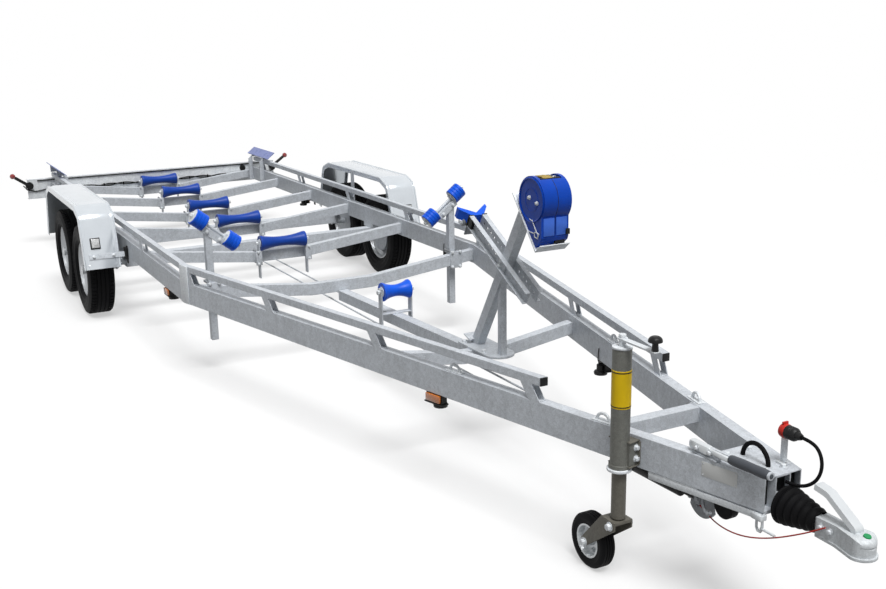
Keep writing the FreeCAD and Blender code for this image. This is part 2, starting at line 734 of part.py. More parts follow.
# Rear light bar, its lamps, and the stalk lamps at its ends
bar_front = -bed_length
bar_bottom = bar_top - bar_height
bar_back = bar_front - bar_depth
bar_outline = [(bar_front, bar_top), (bar_back, bar_top), (bar_back, bar_top - bar_wall),
               (bar_front - bar_wall, bar_top - bar_wall), (bar_front - bar_wall, bar_bottom + bar_wall),
               (bar_back, bar_bottom + bar_wall), (bar_back, bar_bottom), (bar_front, bar_bottom)]
bar_outline = [(x + mid_shift, z) for x, z in bar_outline]
node("light_bar", pressed("light_bar", bar_outline, 2 * bar_half_length, upright(bar_half_length)))
bar_middle = bar_bottom + bar_height / 2
housings = []
lenses = []
for word, side in SIDES.items():
    lamp_y = side * (bar_half_length - lamp_inset - lamp_length / 2)
    deep = bar_depth + lamp_depth - bar_wall - fit_gap
    lamp_face = bar_back - lamp_depth
    housings.append(block("rear_lamp_" + word, deep, lamp_length, lamp_height,
                          at(lamp_face + deep / 2, lamp_y, bar_middle)))
    lenses.append(block("rear_lens_" + word, lens_depth, lamp_length * 0.94, lamp_height * 0.88,
                        at(lamp_face - lens_depth / 2, lamp_y, bar_middle)))
    foot_x = bar_front
    foot_y = side * (bar_half_length - stalk_base_radius / 2)
    foot_z = bar_middle + stalk_base_radius
    base = rod("stalk_base_" + word, stalk_base_radius, stalk_base_depth, at(foot_x, foot_y, foot_z), X_AXIS)
    line = Vector(0, side * stalk_reach, stalk_rise)
    arm_x = foot_x + stalk_radius + side_gap
    arm = rod("stalk_" + word, stalk_radius, line.Length, at(arm_x, foot_y, foot_z), line)
    housings.append(fused("end_lamp_stalk_" + word, base, arm))
    tip = at(arm_x, foot_y, foot_z) + line
    lenses.append(rod("end_lens_" + word, end_lens_radius, end_lens_length,
                      tip + line.normalize() * end_lens_radius - X_AXIS * (end_lens_length / 2), X_AXIS))
node("lamp_lenses", apart("lamp_lenses", *lenses))

# Amber side markers under the beams
marker_length = cell("marker_length", 100.0)
marker_height = cell("marker_height", 42.0)
marker_depth = cell("marker_depth", 30.0)
marker_shares = (0.57,)
marker_bed_shares = (-0.09, -0.68)
ambers = []
for word, side in SIDES.items():
    spots = [share * draw_length / math.cos(math.radians(draw_angle)) for share in marker_shares]
    spots += [share * bed_length for share in marker_bed_shares]
    for index, along in enumerate(spots):
        place = on_draw_bar(side, along)
        middle = place.Base + place.Rotation.multVec(Y_AXIS) * (-side * marker_depth * 0.6)
        down = beam_height + marker_height / 2
        spot = Placement(middle - Z_AXIS * down, place.Rotation)
        name = "%s_%d" % (word, index)
        housings.append(block("marker_back_" + name, marker_length, marker_depth, marker_height,
                              Vector(0, 0, 0), spot))
        out = side * (marker_depth / 2 + marker_depth * 0.2 + fit_gap)
        ambers.append(block("marker_lens_" + name, marker_length * 0.9, marker_depth * 0.4,
                            marker_height * 0.8,
                            Vector(0, out, 0), spot))
node("lamp_housings", apart("lamp_housings", *housings))
node("marker_lenses", apart("marker_lenses", *ambers))

# Slotted guide plates above the rear of the rails, on gussets from the beams
gusset_station_shares = (0.2, 0.75)
guide_rear = bar_front
tilt = math.radians(guide_tilt)
guides = []
gussets = []
for word, side in SIDES.items():
    line = Vector(0, side * math.cos(tilt), math.sin(tilt))
    place = axes(at(guide_rear + guide_length / 2, side * guide_half_gauge, guide_height), X_AXIS, line)
    plate = block("guide_plate_" + word, guide_length, guide_width, guide_wall, Vector(0, 0, 0), place)
    slots = [block("guide_slot_%s_%d" % (word, index), guide_wall * 1.5, guide_width * 0.45, guide_wall * 3,
                   Vector(share * guide_length, 0, 0), place)
             for index, share in enumerate((-0.22, -0.06, 0.24, 0.38))]
    guides.append(less("guide_slotted_" + word, plate, *slots))

    def under(y):
        return guide_height + (y - guide_half_gauge) * math.tan(tilt) - guide_wall / 2 / math.cos(tilt)
    inner = inner_half_width
    outer = guide_half_gauge + guide_width * 0.25
    above = rail_top + fit_gap * 20
    outline = [(inner - guide_post, beam_bottom), (inner, beam_bottom), (inner, above), (outer, above),
               (outer, under(outer)), (inner, under(inner)),
               (inner - guide_post, under(inner) - guide_post * math.tan(tilt) * 1.2)]
    for index, share in enumerate(gusset_station_shares):
        place = axes(at(guide_rear + guide_length * share, 0, 0), Y_AXIS, Z_AXIS)
        if side == RIGHT:
            place = place.multiply(Placement(Vector(0, 0, 0), Rotation(Y_AXIS, 180)))
        gussets.append(pressed("guide_gusset_%s_%d" % (word, index), outline, 2 * guide_wall, place))
node("guide_plates", apart("guide_plates", *guides))
node("guide_gussets", apart("guide_gussets", *gussets))

# Side roller posts behind the front cross member, each with a tilted rod and two rollers
tip_over = math.radians(side_tilt)
posts = []
for word, side in SIDES.items():
    station = front_member - cross_width / 2 - post_size / 2 - fit_gap
    head = at(station, side * side_head_half_gauge, side_head_height)
    line = Vector(0, side * math.cos(tip_over), math.sin(tip_over))
    up = Vector(0, -side * math.sin(tip_over), math.cos(tip_over))
    post_tall = post_top - post_bottom
    post = block("side_post_tube_" + word, post_size, post_size, post_tall,
                 at(station, side * post_half_gauge, post_bottom + post_tall / 2))
    place = axes(head, line, up)
    saddle_drop = side_rod_radius + post_size * 0.7
    saddle = block("side_saddle_" + word, 2 * (side_roller_apart / 2 - side_roller_width / 2 - side_gap),
                   post_size, post_size * 1.2,
                   Vector(0, -saddle_drop + post_size * 0.1, 0), place)
    rod_long = side_roller_apart + side_roller_width + 6 * side_gap
    bar = rod("side_rod_" + word, side_rod_radius, rod_long, head - line * (rod_long / 2), line)
    lug_out = side_roller_apart / 2 - side_roller_width / 2 - 2 * side_gap
    lugs = [block("side_lug_%s_%d" % (word, index), 2 * side_gap, saddle_drop + side_rod_radius * 2,
                  post_size * 1.2,
                  Vector(sign * lug_out, side_rod_radius - saddle_drop / 2, 0), place)
            for index, sign in enumerate((-1, 1))]
    posts.append(fused("side_post_" + word, post, saddle, bar, *lugs))
    for where, sign in {"lower": -1, "upper": 1}.items():
        half = side_roller_width / 2
        groove = side_roller_rib
        bore = side_rod_radius + pin_clearance
        outline = [(-half, bore), (-half, side_roller_radius - groove), (groove - half, side_roller_radius)]
        ribs = 4
        for rib in range(1, ribs):
            x = -half + 2 * half * rib / ribs
            outline += [(x - groove, side_roller_radius), (x, side_roller_radius - groove),
                        (x + groove, side_roller_radius)]
        outline += [(half - groove, side_roller_radius), (half, side_roller_radius - groove), (half, bore)]
        name = "side_roller_%s_%s" % (where, word)
        centre = head + line * (sign * side_roller_apart / 2)
        node(name, turned(name, outline, axes(centre, line, up)))
node("side_posts", apart("side_posts", *posts))

# Winch stand: base plate, leaning column, upright strut and the tilted winch plate
base_top = beam_top - winch_mid_drop + base_wall
lean = math.radians(column_lean)
column_line = Vector(math.sin(lean), 0, math.cos(lean))
column_foot = at(winch_station - column_depth * 1.1, 0, base_top)
plate_down = Vector(0.625, 0, -0.781).normalize()
plate_out = Vector(0.781, 0, 0.625).normalize()
winch_forward = winch_station - column_depth * 1.1 + math.tan(lean) * (winch_height - base_top) + winch_reach
winch_centre = at(winch_forward, 0, winch_height)
plate_centre = winch_centre - plate_out * (winch_radius + winch_plate_wall / 2) + plate_down * winch_radius * 0.45
stand_base = pressed("winch_base", [(-base_length * 0.35, -base_width / 2),
                                    (base_length * 0.45, -base_width / 2),
                                    ("arc", (base_length * 0.65, 0), (base_length * 0.45, base_width / 2)),
                                    (-base_length * 0.35, base_width / 2)],
                     base_wall, Placement(at(winch_station, 0, base_top - base_wall), Rotation()))
column_edges = []
for sign in (-1, 1):
    foot = column_foot + X_AXIS * (sign * column_depth / 2 / math.cos(lean)) - Z_AXIS * (base_wall / 2)
    rise = (plate_centre - foot).dot(plate_out) / column_line.dot(plate_out)
    column_edges += [foot, foot + column_line * rise]
column = pressed("winch_column", [(column_edges[index].x, column_edges[index].z) for index in (0, 1, 3, 2)],
                 column_width, upright(column_width / 2))
strut_station = winch_station + base_length * 0.53
strut_tall = (strut_station - winch_station + column_depth * 1.1) / math.tan(lean)
strut = block("winch_strut", strut_size, strut_size, strut_tall,
              at(strut_station, 0, base_top + strut_tall / 2))
back_plate = block("winch_plate", winch_radius * 2.6, winch_half_width * 1.9, winch_plate_wall,
                   Vector(0, 0, 0), axes(plate_centre, plate_down, Y_AXIS))
stand = fused("winch_stand_frame", stand_base, column, strut, back_plate)
drum_half = winch_half_width - winch_cheek
drum = rod("winch_drum", winch_drum_radius, 2 * drum_half, winch_centre - Y_AXIS * drum_half, Y_AXIS)
node("winch_stand", apart("winch_stand", stand, drum))

# Slide arms: two perforated channels beside the column, with the bow stop at their upper end
droop = math.radians(slide_droop)
slide_line = Vector(math.cos(droop), 0, -math.sin(droop))
slide_up = Vector(math.sin(droop), 0, math.cos(droop))
slide_share = 0.56
crossing = column_foot + column_line * ((winch_height - slide_drop - base_top) / column_line.z)
slide_start = crossing - slide_line * (slide_length * slide_share)
channels = []
for word, side in SIDES.items():
    web_y = side * (column_width / 2 + fit_gap + slide_wall / 2)
    place = axes(Vector(slide_start.x, web_y, slide_start.z), slide_line, slide_up)
    web = block("slide_web_" + word, slide_length, slide_height, slide_wall, Vector(slide_length / 2, 0, 0),
                place)
    outward = -side
    flanges = [block("slide_flange_%s_%d" % (word, index), slide_length, slide_wall, slide_flange,
                     Vector(slide_length / 2, sign * (slide_height - slide_wall) / 2,
                            outward * (slide_flange - slide_wall) / 2), place)
               for index, sign in enumerate((-1, 1))]
    count = int(slide_length / slide_hole_pitch) - 1
    holes = []
    for index in range(count):
        along = slide_hole_pitch * (index + 1)
        if abs(along - slide_length * slide_share) > column_depth:
            holes.append(rod("slide_hole_%s_%d" % (word, index), slide_hole_radius, slide_wall * 3,
                             place.multVec(Vector(along, 0, -slide_wall * 1.5)),
                             place.Rotation.multVec(Z_AXIS)))
    channels.append(less("slide_channel_" + word, fused("slide_section_" + word, web, *flanges), *holes))
node("slide_arms", apart("slide_arms", *channels))
stop_sweep = stop_length * 0.8
stop_place = axes(slide_start - slide_line * fit_gap - slide_up * slide_height / 2, Y_AXIS, slide_line)
stop_outline = [(-stop_half_width, -stop_sweep), (0, -stop_wall), (stop_half_width, -stop_sweep),
                (stop_half_width, stop_wall - stop_sweep), (stop_wall * 1.5, 0), (-stop_wall * 1.5, 0),
                (-stop_half_width, stop_wall - stop_sweep)]
stop_place = axes(stop_place.Base + slide_up * slide_height, Y_AXIS, slide_line)
node("bow_stop", pressed("bow_stop", stop_outline, slide_height * 0.9, stop_place))

# Winch in its two-part housing, against the tilted plate
disc = winch_centre - plate_out * winch_radius
foot_low = disc + plate_down * winch_radius * 1.75


def seen(point):
    return (point.x, point.z)


toe = foot_low + plate_out * winch_radius * 0.5
chin_x = toe.x + winch_radius * 0.06
chin_z = winch_centre.z - math.sqrt(max(winch_radius ** 2 - (chin_x - winch_centre.x) ** 2, 0))
shell = pressed("winch_shell", [seen(disc), seen(foot_low), seen(toe), (chin_x, toe.z + winch_radius * 0.15),
                                (chin_x, chin_z),
                                ("arc", (winch_centre.x + winch_radius * math.sqrt(0.5),
                                         winch_centre.z + winch_radius * math.sqrt(0.5)), seen(disc))],
                2 * winch_half_width, upright(winch_half_width))
chamber = rod("winch_chamber", winch_chamber_radius, 2 * drum_half, winch_centre - Y_AXIS * drum_half, Y_AXIS)
mouth_tall = winch_radius + overrun
mouth = block("winch_mouth_cut", winch_mouth, 2 * drum_half, mouth_tall,
              winch_centre + Z_AXIS * (mouth_tall / 2))
node("winch_housing", less("winch_housing", shell, chamber, mouth))

# Overrun housing between the draw bar's ends, on shoes under the beams
housing_length = cell("housing_length", 250.0)
housing_wall = cell("housing_wall", 8.0)
housing_radius = cell("housing_radius", 28.0)
snout_radius = cell("snout_radius", 36.0)
snout_length = cell("snout_length", 16.0)
shaft_depth = cell("shaft_depth", 60.0)
cavity_depth = cell("cavity_depth", 70.0)
nose_x = draw_length
span = draw_half(nose_x - housing_length)
near_span = draw_half(nose_x)


def nose_plate(name, wide, thickness, bottom):
    outline = [(nose_x - housing_length + mid_shift, -span - wide), (nose_x + mid_shift, -near_span - wide),
               (nose_x + mid_shift, near_span + wide), (nose_x - housing_length + mid_shift, span + wide)]
    return pressed(name, outline, thickness, Placement(Vector(0, 0, bottom), Rotation()))


top_plate = nose_plate("nose_plate_upper", 0, housing_wall, beam_top - housing_wall)
shoe = nose_plate("nose_shoe", beam_width * 0.9, housing_wall, beam_bottom - housing_wall)
web = block("nose_web", housing_wall * 3, 2 * near_span, beam_height,
            at(nose_x - cavity_depth - housing_wall * 1.5, 0, beam_top - beam_height / 2))
tube = rod("overrun_tube", housing_radius, housing_length, at(nose_x - housing_length, 0, coupling_height),
           X_AXIS)
snout = rod("overrun_snout", snout_radius, snout_length, at(nose_x, 0, coupling_height), X_AXIS)
shaft_hole = rod("overrun_bore", shaft_radius + pin_clearance, shaft_depth + snout_length + overrun,
                 at(nose_x - shaft_depth, 0, coupling_height), X_AXIS)
node("overrun_housing", less("overrun_housing", fused("overrun_solid", top_plate, shoe, web, tube, snout),
                             shaft_hole))
first_radius = bellows_radius
last_radius = bellows_end_radius
bellows_outline = [(snout_length + fit_gap, shaft_radius + pin_clearance)]
usable = bellows_length - snout_length - 2 * fit_gap
for index in range(bellows_folds):
    start = snout_length + fit_gap + usable * index / bellows_folds
    crest = first_radius + (last_radius - first_radius) * (index + 0.5) / bellows_folds
    bellows_outline += [(start, crest * 0.84), (start + usable / bellows_folds / 2, crest)]
bellows_end = bellows_length - fit_gap
bellows_outline += [(bellows_end, last_radius * 0.84), (bellows_end, shaft_radius + pin_clearance)]
node("bellows", turned("bellows", bellows_outline, axes(at(nose_x, 0, coupling_height), X_AXIS, Y_AXIS)))

# Coupling head, cut from its plan and its side view, with a rim round its foot, its ball socket and its handle
handle_wide = cell("handle_wide", 36.0)
handle_depth = cell("handle_depth", 20.0)
handle_rise = cell("handle_rise", 100.0)
handle_bend = cell("handle_bend", 60.0)
handle_tail = cell("handle_tail", 22.0)
head_rim = cell("head_rim", 6.0)
head_start = nose_x + bellows_length
socket_x = head_start + coupling_length - ball_radius * 1.9
cup_half = ball_radius + coupling_wall * 2
neck_half = coupling_wall * 3
waist_x = head_start + coupling_length * 0.38
head_low = coupling_height - coupling_wall * 4.6
socket_deep = ball_radius * 1.2
head_tall = coupling_wall * 7.5
head_top = head_low + head_tall
nose_end = head_start + coupling_length
dome_start = socket_x - cup_half * 0.3


def head_plan(rim):
    points = [(head_start, -neck_half), (waist_x, -neck_half * 0.9 - rim), (socket_x, -cup_half - rim),
              ("arc", (nose_end - head_rim + rim, 0), (socket_x, cup_half + rim)),
              (waist_x, neck_half * 0.9 + rim), (head_start, neck_half)]
    shifted = []
    for point in points:
        if point[0] == "arc":
            shifted.append(("arc", (point[1][0] + mid_shift, point[1][1]),
                            (point[2][0] + mid_shift, point[2][1])))
        else:
            shifted.append((point[0] + mid_shift, point[1]))
    return shifted


head_side = [(head_start, head_low + coupling_wall), (head_start, head_top), (dome_start, head_top),
             (nose_end, head_low + coupling_wall), (nose_end, head_low), (waist_x, head_low)]
head_side = [(x + mid_shift, z) for x, z in head_side]
head_side[3:4] = [("arc", (nose_end + mid_shift - coupling_wall * 1.6, head_top - coupling_wall * 2.2),
                   head_side[3])]
head_block = pressed("coupling_plan", head_plan(0), head_tall, Placement(Vector(0, 0, head_low), Rotation()))
head_cut = pressed("coupling_side", head_side, 2 * cup_half + 2 * overrun, upright(cup_half + overrun))
head_body = doc.addObject("Part::Common", "coupling_body")
head_body.Base = head_block
head_body.Tool = head_cut
head_foot = pressed("coupling_rim", head_plan(head_rim), coupling_wall,
                    Placement(Vector(0, 0, head_low), Rotation()))
shaft = rod("coupling_shaft", shaft_radius, shaft_depth + bellows_length + coupling_wall - fit_gap,
            at(nose_x - shaft_depth + fit_gap, 0, coupling_height), X_AXIS)
socket = rod("ball_bore", ball_radius, socket_deep + overrun, at(socket_x, 0, head_low - overrun), Z_AXIS)
dome = cone("ball_dome", ball_radius, ball_radius * 0.55, ball_radius * 0.5,
            at(socket_x, 0, head_low + socket_deep),
            Z_AXIS)
solid = fused("coupling_solid", head_body, head_foot, shaft)
node("coupling_head", less("coupling_head", solid, socket, dome))
handle_foot = dome_start + mid_shift
handle_low = head_top + fit_gap
handle_line = [(handle_foot, handle_low), (handle_foot, handle_low + handle_depth * 0.8),
               (head_start + mid_shift + handle_depth * 1.5, handle_low + handle_rise * 0.92),
               (head_start + mid_shift - handle_tail, handle_low + handle_rise)]
handle_outline = bent_strip(handle_line, handle_depth, [0, handle_bend * 0.3, handle_bend, 0])
node("coupling_handle", pressed("coupling_handle", handle_outline, handle_wide, upright(handle_wide / 2)))

# Jockey wheel: clamped tube, sliding stem, trailing fork, wheel, and the crank on top
jockey_foot = at(jockey_forward, -jockey_out, jockey_tube_bottom)
tall = jockey_tube_top - jockey_tube_bottom
outer = rod("jockey_outer", jockey_tube_radius, tall, jockey_foot, Z_AXIS)
collar = rod("jockey_collar", jockey_tube_radius + coupling_wall / 2, strap_width * 0.7, jockey_foot, Z_AXIS)
angle = math.radians(draw_angle)
slant = jockey_forward / math.cos(angle)
face = on_draw_bar(RIGHT, slant)
along = (jockey_foot - face.Base).dot(face.Rotation.multVec(X_AXIS))
off = abs((jockey_foot - face.Base).dot(face.Rotation.multVec(Y_AXIS)))
sign = math.copysign(1, (jockey_foot - face.Base).dot(face.Rotation.multVec(Y_AXIS)))
clamp = block("jockey_clamp", strap_width * 2.2, off, beam_height * 0.75,
              Vector(along, sign * off / 2, -beam_height / 2), face)
bush = strap_width * 0.7
inside = rod("jockey_bore", jockey_tube_radius - jockey_tube_wall, tall - bush - jockey_tube_wall,
             jockey_foot + Z_AXIS * bush, Z_AXIS)
guide = rod("jockey_bush_bore", jockey_inner_radius + pin_clearance, bush + 2 * overrun,
            jockey_foot - Z_AXIS * overrun, Z_AXIS)
node("jockey_tube", less("jockey_tube", fused("jockey_solid", outer, collar, clamp), inside, guide))
stem_tall = jockey_inner_top - jockey_inner_bottom
stem_foot = at(jockey_forward, -jockey_out, jockey_inner_bottom)
stem = rod("jockey_stem_rod", jockey_inner_radius, stem_tall, stem_foot, Z_AXIS)
pivot_deep = strap_width * 1.5
pivot_radius = cell("pivot_radius", 14.0)
stem_bore = rod("jockey_stem_bore", pivot_radius + pin_clearance, pivot_deep + overrun,
                stem_foot - Z_AXIS * overrun, Z_AXIS)
node("jockey_stem", less("jockey_stem", stem, stem_bore))
fork_gap = jockey_wheel_width / 2 + side_gap
crown_top = jockey_inner_bottom - side_gap
crown_wall = plate_wall * 2
crown = block("fork_crown", jockey_inner_radius * 3, 2 * (fork_gap + plate_wall), crown_wall,
              at(jockey_forward - jockey_inner_radius * 0.3, -jockey_out, crown_top - crown_wall / 2))
wheel_x = jockey_forward - jockey_trail
plate_half = strap_width / 2
fork_parts = [crown]
for word, side in SIDES.items():
    outline = [(wheel_x + mid_shift, jockey_wheel_radius - plate_half),
               (jockey_forward + mid_shift + jockey_inner_radius * 1.2, crown_top - crown_wall - plate_half),
               (jockey_forward + mid_shift + jockey_inner_radius * 1.2, crown_top),
               (jockey_forward + mid_shift - jockey_inner_radius * 1.8, crown_top),
               (wheel_x + mid_shift - plate_half, jockey_wheel_radius + plate_half * 0.6),
               (wheel_x + mid_shift - plate_half, jockey_wheel_radius)]
    y = -jockey_out + side * (fork_gap + plate_wall / 2) + plate_wall / 2
    fork_parts.append(pressed("fork_plate_" + word, outline, plate_wall, upright(y)))
fork_parts.append(rod("fork_pivot", pivot_radius, pivot_deep - side_gap + crown_wall / 2,
                      at(jockey_forward, -jockey_out, crown_top - crown_wall / 2), Z_AXIS))
jockey_pin = cell("jockey_pin", 8.0)
fork_parts.append(rod("fork_axle", jockey_pin, 2 * (fork_gap + plate_wall + side_gap),
                      at(wheel_x, -jockey_out - fork_gap - plate_wall - side_gap, jockey_wheel_radius),
                      Y_AXIS))
node("jockey_fork", fused("jockey_fork", *fork_parts))
wheel_place = axes(at(wheel_x, -jockey_out, jockey_wheel_radius), Y_AXIS, Z_AXIS)
half = jockey_wheel_width / 2
edge = half * 0.45
node("jockey_tyre", turned("jockey_tyre", [(-half * 0.9, jockey_rim_radius + fit_gap),
                                           (-half, jockey_rim_radius * 1.1),
                                           (-half, jockey_wheel_radius - edge),
                                           ("arc", (-half + edge * 0.3, jockey_wheel_radius - edge * 0.3),
                                            (-half + edge, jockey_wheel_radius)),
                                           (half - edge, jockey_wheel_radius),
                                           ("arc", (half - edge * 0.3, jockey_wheel_radius - edge * 0.3),
                                            (half, jockey_wheel_radius - edge)),
                                           (half, jockey_rim_radius * 1.1),
                                           (half * 0.9, jockey_rim_radius + fit_gap)],
                           wheel_place))
hub = jockey_pin * 2
bore = jockey_pin + pin_clearance
web = half * 0.25
node("jockey_rim", turned("jockey_rim", [(-half * 0.9, jockey_rim_radius),
                                         (-half * 0.9, jockey_rim_radius - rim_wall),
                                         (-web, jockey_rim_radius - 2 * rim_wall), (-web, hub + rim_wall),
                                         (-half, hub), (-half, bore), (half, bore), (half, hub),
                                         (web, hub + rim_wall),
                                         (web, jockey_rim_radius - 2 * rim_wall),
                                         (half * 0.9, jockey_rim_radius - rim_wall),
                                         (half * 0.9, jockey_rim_radius)],
                          wheel_place))
crank_top = jockey_tube_top + strap_width * 0.7
crank_post = rod("crank_post", jockey_pin * 1.6, strap_width * 0.7 + fit_gap * 10,
                 at(jockey_forward, -jockey_out, jockey_tube_top + fit_gap), Z_AXIS)
crank_arm = block("crank_arm", crank_length + strap_width * 0.6, strap_width * 0.65, plate_wall,
                  at(jockey_forward + crank_length / 2, -jockey_out, crank_top))
node("jockey_crank", fused("jockey_crank", crank_post, crank_arm))
knob_tall = strap_width * 1.3
knob_radius = strap_width * 0.62
node("crank_knob", turned("crank_knob", [(0, 0), (0, knob_radius * 0.5), (knob_tall * 0.5,
                                                                          knob_radius * 0.42),
                                         (knob_tall * 0.62, knob_radius),
                                         ("arc", (knob_tall * 0.88, knob_radius * 0.85),
                                          (knob_tall, knob_radius * 0.4)),
                                         (knob_tall, 0)],
                          axes(at(jockey_forward + crank_length, -jockey_out,
                                  crank_top + plate_wall / 2 + fit_gap),
                               Z_AXIS, X_AXIS)))

# Handbrake lever over the right beam, with its gas strut, transfer lever and rods to the axles
lever_inset = cell("lever_inset", 270.0)
lever_pivot = draw_length - lever_inset
lever_length = cell("lever_length", 165.0)
grip_length = cell("grip_length", 165.0)
grip_radius = cell("grip_radius", 14.0)
lever_y = -draw_half(lever_pivot) - beam_width / 2
lever_foot = block("lever_bracket", lever_length * 0.7, beam_width * 0.5, plate_wall,
                   at(lever_pivot + lever_length * 0.2, lever_y, beam_top + plate_wall / 2 + fit_gap))
lever_ears = block("lever_ears", lever_length * 0.35, beam_width * 0.3, beam_width * 0.7,
                   at(lever_pivot, lever_y, beam_top + plate_wall / 2 + beam_width * 0.35))
lever_start = at(lever_pivot, lever_y, beam_top + beam_width * 0.5)
lever_line = Vector(lever_length, lever_y * 0.12 + nose_half_width * 0.25, beam_width * 0.1)
lever_bar = block("lever_bar", lever_line.Length + plate_wall, plate_wall * 2, beam_width * 0.5,
                  Vector(lever_line.Length / 2, 0, 0), axes(lever_start, lever_line, Vector(-lever_line.y,
                                                                                            lever_line.x, 0)))
lever_tip = lever_start + lever_line
grip = rod("lever_grip", grip_radius, grip_length, lever_tip - lever_line.normalize() * plate_wall,
           lever_line)
node("handbrake_lever", fused("handbrake_lever", lever_foot, lever_ears, lever_bar, grip))

strut_radius = cell("strut_radius", 18.0)
gear_height = cell("gear_height", 360.0)
gear_y = cell("gear_y", 50.0)
gear_plate = cell("gear_plate", 110.0)
rod_radius = cell("rod_radius", 5.0)
gear_x = lever_pivot - gear_plate / 2
gear_hanger = block("gear_hanger", gear_plate * 0.6, 2 * span + beam_width, plate_wall,
                    at(gear_x, 0, beam_bottom - plate_wall / 2))
gear_web = pressed("gear_lever", [(gear_x + mid_shift - gear_plate / 2, gear_height - gear_plate / 4),
                                  ("arc", (gear_x + mid_shift, gear_height - gear_plate * 0.55),
                                   (gear_x + mid_shift + gear_plate * 0.6, gear_height - gear_plate / 4)),
                                  (gear_x + mid_shift + gear_plate * 0.3, beam_bottom - plate_wall),
                                  (gear_x + mid_shift - gear_plate * 0.3, beam_bottom - plate_wall)],
                   plate_wall * 2, upright(-gear_y + plate_wall))
gas_strut = rod("gas_strut", strut_radius, gear_plate * 2, at(gear_x - gear_plate * 2.1, -gear_y, beam_bottom
                                                             - gear_plate * 0.35), X_AXIS)
strut_rod = rod("strut_rod", rod_radius, gear_plate * 1.2, at(gear_x - gear_plate, -gear_y, beam_bottom
                                                            - gear_plate * 0.35), X_AXIS)
strut_hold = block("strut_hold", strap_width / 2, plate_wall * 2, gear_plate * 0.5,
                   at(gear_x - gear_plate * 1.9, -gear_y, beam_bottom - gear_plate * 0.25))
hold_bar = block("strut_hold_bar", strap_width / 2, 2 * draw_half(gear_x - gear_plate * 1.9) + beam_width,
                 plate_wall,
                 at(gear_x - gear_plate * 1.9, 0, beam_bottom - plate_wall / 2))
gear_pin = rod("gear_pin", plate_wall, gear_plate * 0.24, at(gear_x, -gear_y, beam_bottom - gear_plate),
               -Y_AXIS)
node("brake_gear", fused("brake_gear", gear_hanger, gear_web, gear_pin, gas_strut, strut_rod, strut_hold,
                         hold_bar))
rod_start = gear_x - gear_plate / 2 - plate_wall / 2
rod_end = axle_stations["front"] + swing_arm + axle_tube / 2
rods = []
for word, side in SIDES.items():
    first = at(rod_end - plate_wall, side * gear_y, tyre_radius + axle_tube * 0.1)
    last = at(rod_start, side * gear_y, gear_height)
    rods.append(rod("brake_rod_" + word, rod_radius, (last - first).Length, first, last - first))
yoke = block("rod_yoke", plate_wall * 2, 2 * gear_y + strap_width / 2, strap_width / 2,
             at(rod_start, 0, gear_height))
node("brake_rods", fused("brake_rods", yoke, *rods))

# Lashing eyes on the draw bar
eye_radius = cell("eye_radius", 30.0)
eye_wire = cell("eye_wire", 6.0)
eye_shares = (0.6, 0.815)
eyes = []
for word, side in SIDES.items():
    for index, share in enumerate(eye_shares):
        place = on_draw_bar(side, share * draw_length / math.cos(math.radians(draw_angle)))
        middle = place.multVec(Vector(0, 0, 0)) + place.Rotation.multVec(Y_AXIS) * (-side * beam_width / 2)
        ring = doc.addObject("Part::Torus", "eye_%s_%d" % (word, index))
        bound(ring, Radius1=eye_radius, Radius2=eye_wire)
        ring.Placement = Placement(middle, axes(Vector(0, 0, 0), place.Rotation.multVec(X_AXIS),
                                                Z_AXIS).Rotation)
        cut = block("eye_cut_%s_%d" % (word, index), eye_radius * 3, eye_radius * 3, eye_radius * 1.5,
                    Vector(middle) - Z_AXIS * (eye_radius * 0.75 - fit_gap))
        pad = block("eye_pad_%s_%d" % (word, index), eye_radius * 3.2, beam_width * 0.7, plate_wall / 2,
                    Vector(0, 0, plate_wall / 4 + fit_gap), Placement(middle, place.Rotation))
        eyes.append(fused("lashing_eye_%s_%d" % (word, index),
                          less("eye_arch_%s_%d" % (word, index), ring, cut), pad))
node("lashing_eyes", apart("lashing_eyes", *eyes))

# Electric plug parked on its stud, and its cable
plug_inset = cell("plug_inset", 48.0)
plug_x = draw_length - plug_inset
plug_z = cell("plug_z", 690.0)
plug_radius = cell("plug_radius", 24.0)
plug_length = cell("plug_length", 66.0)
cable_radius = cell("cable_radius", 6.0)
plug_y = draw_half(plug_x) + beam_width / 2
stud = block("plug_stud", beam_width * 0.5, beam_width * 0.3, plug_z - beam_top,
             at(plug_x - plug_length * 0.3, plug_y, (plug_z + beam_top) / 2))
plug_body = rod("plug_body", plug_radius, plug_length, at(plug_x - plug_length / 2, plug_y, plug_z), X_AXIS)
plug_neck = cone("plug_neck", plug_radius * 0.8, cable_radius * 1.6, plug_length * 0.3,
                 at(plug_x + plug_length / 2, plug_y, plug_z), X_AXIS)
node("plug", fused("plug", stud, plug_body, plug_neck))


bend_share = 0.45


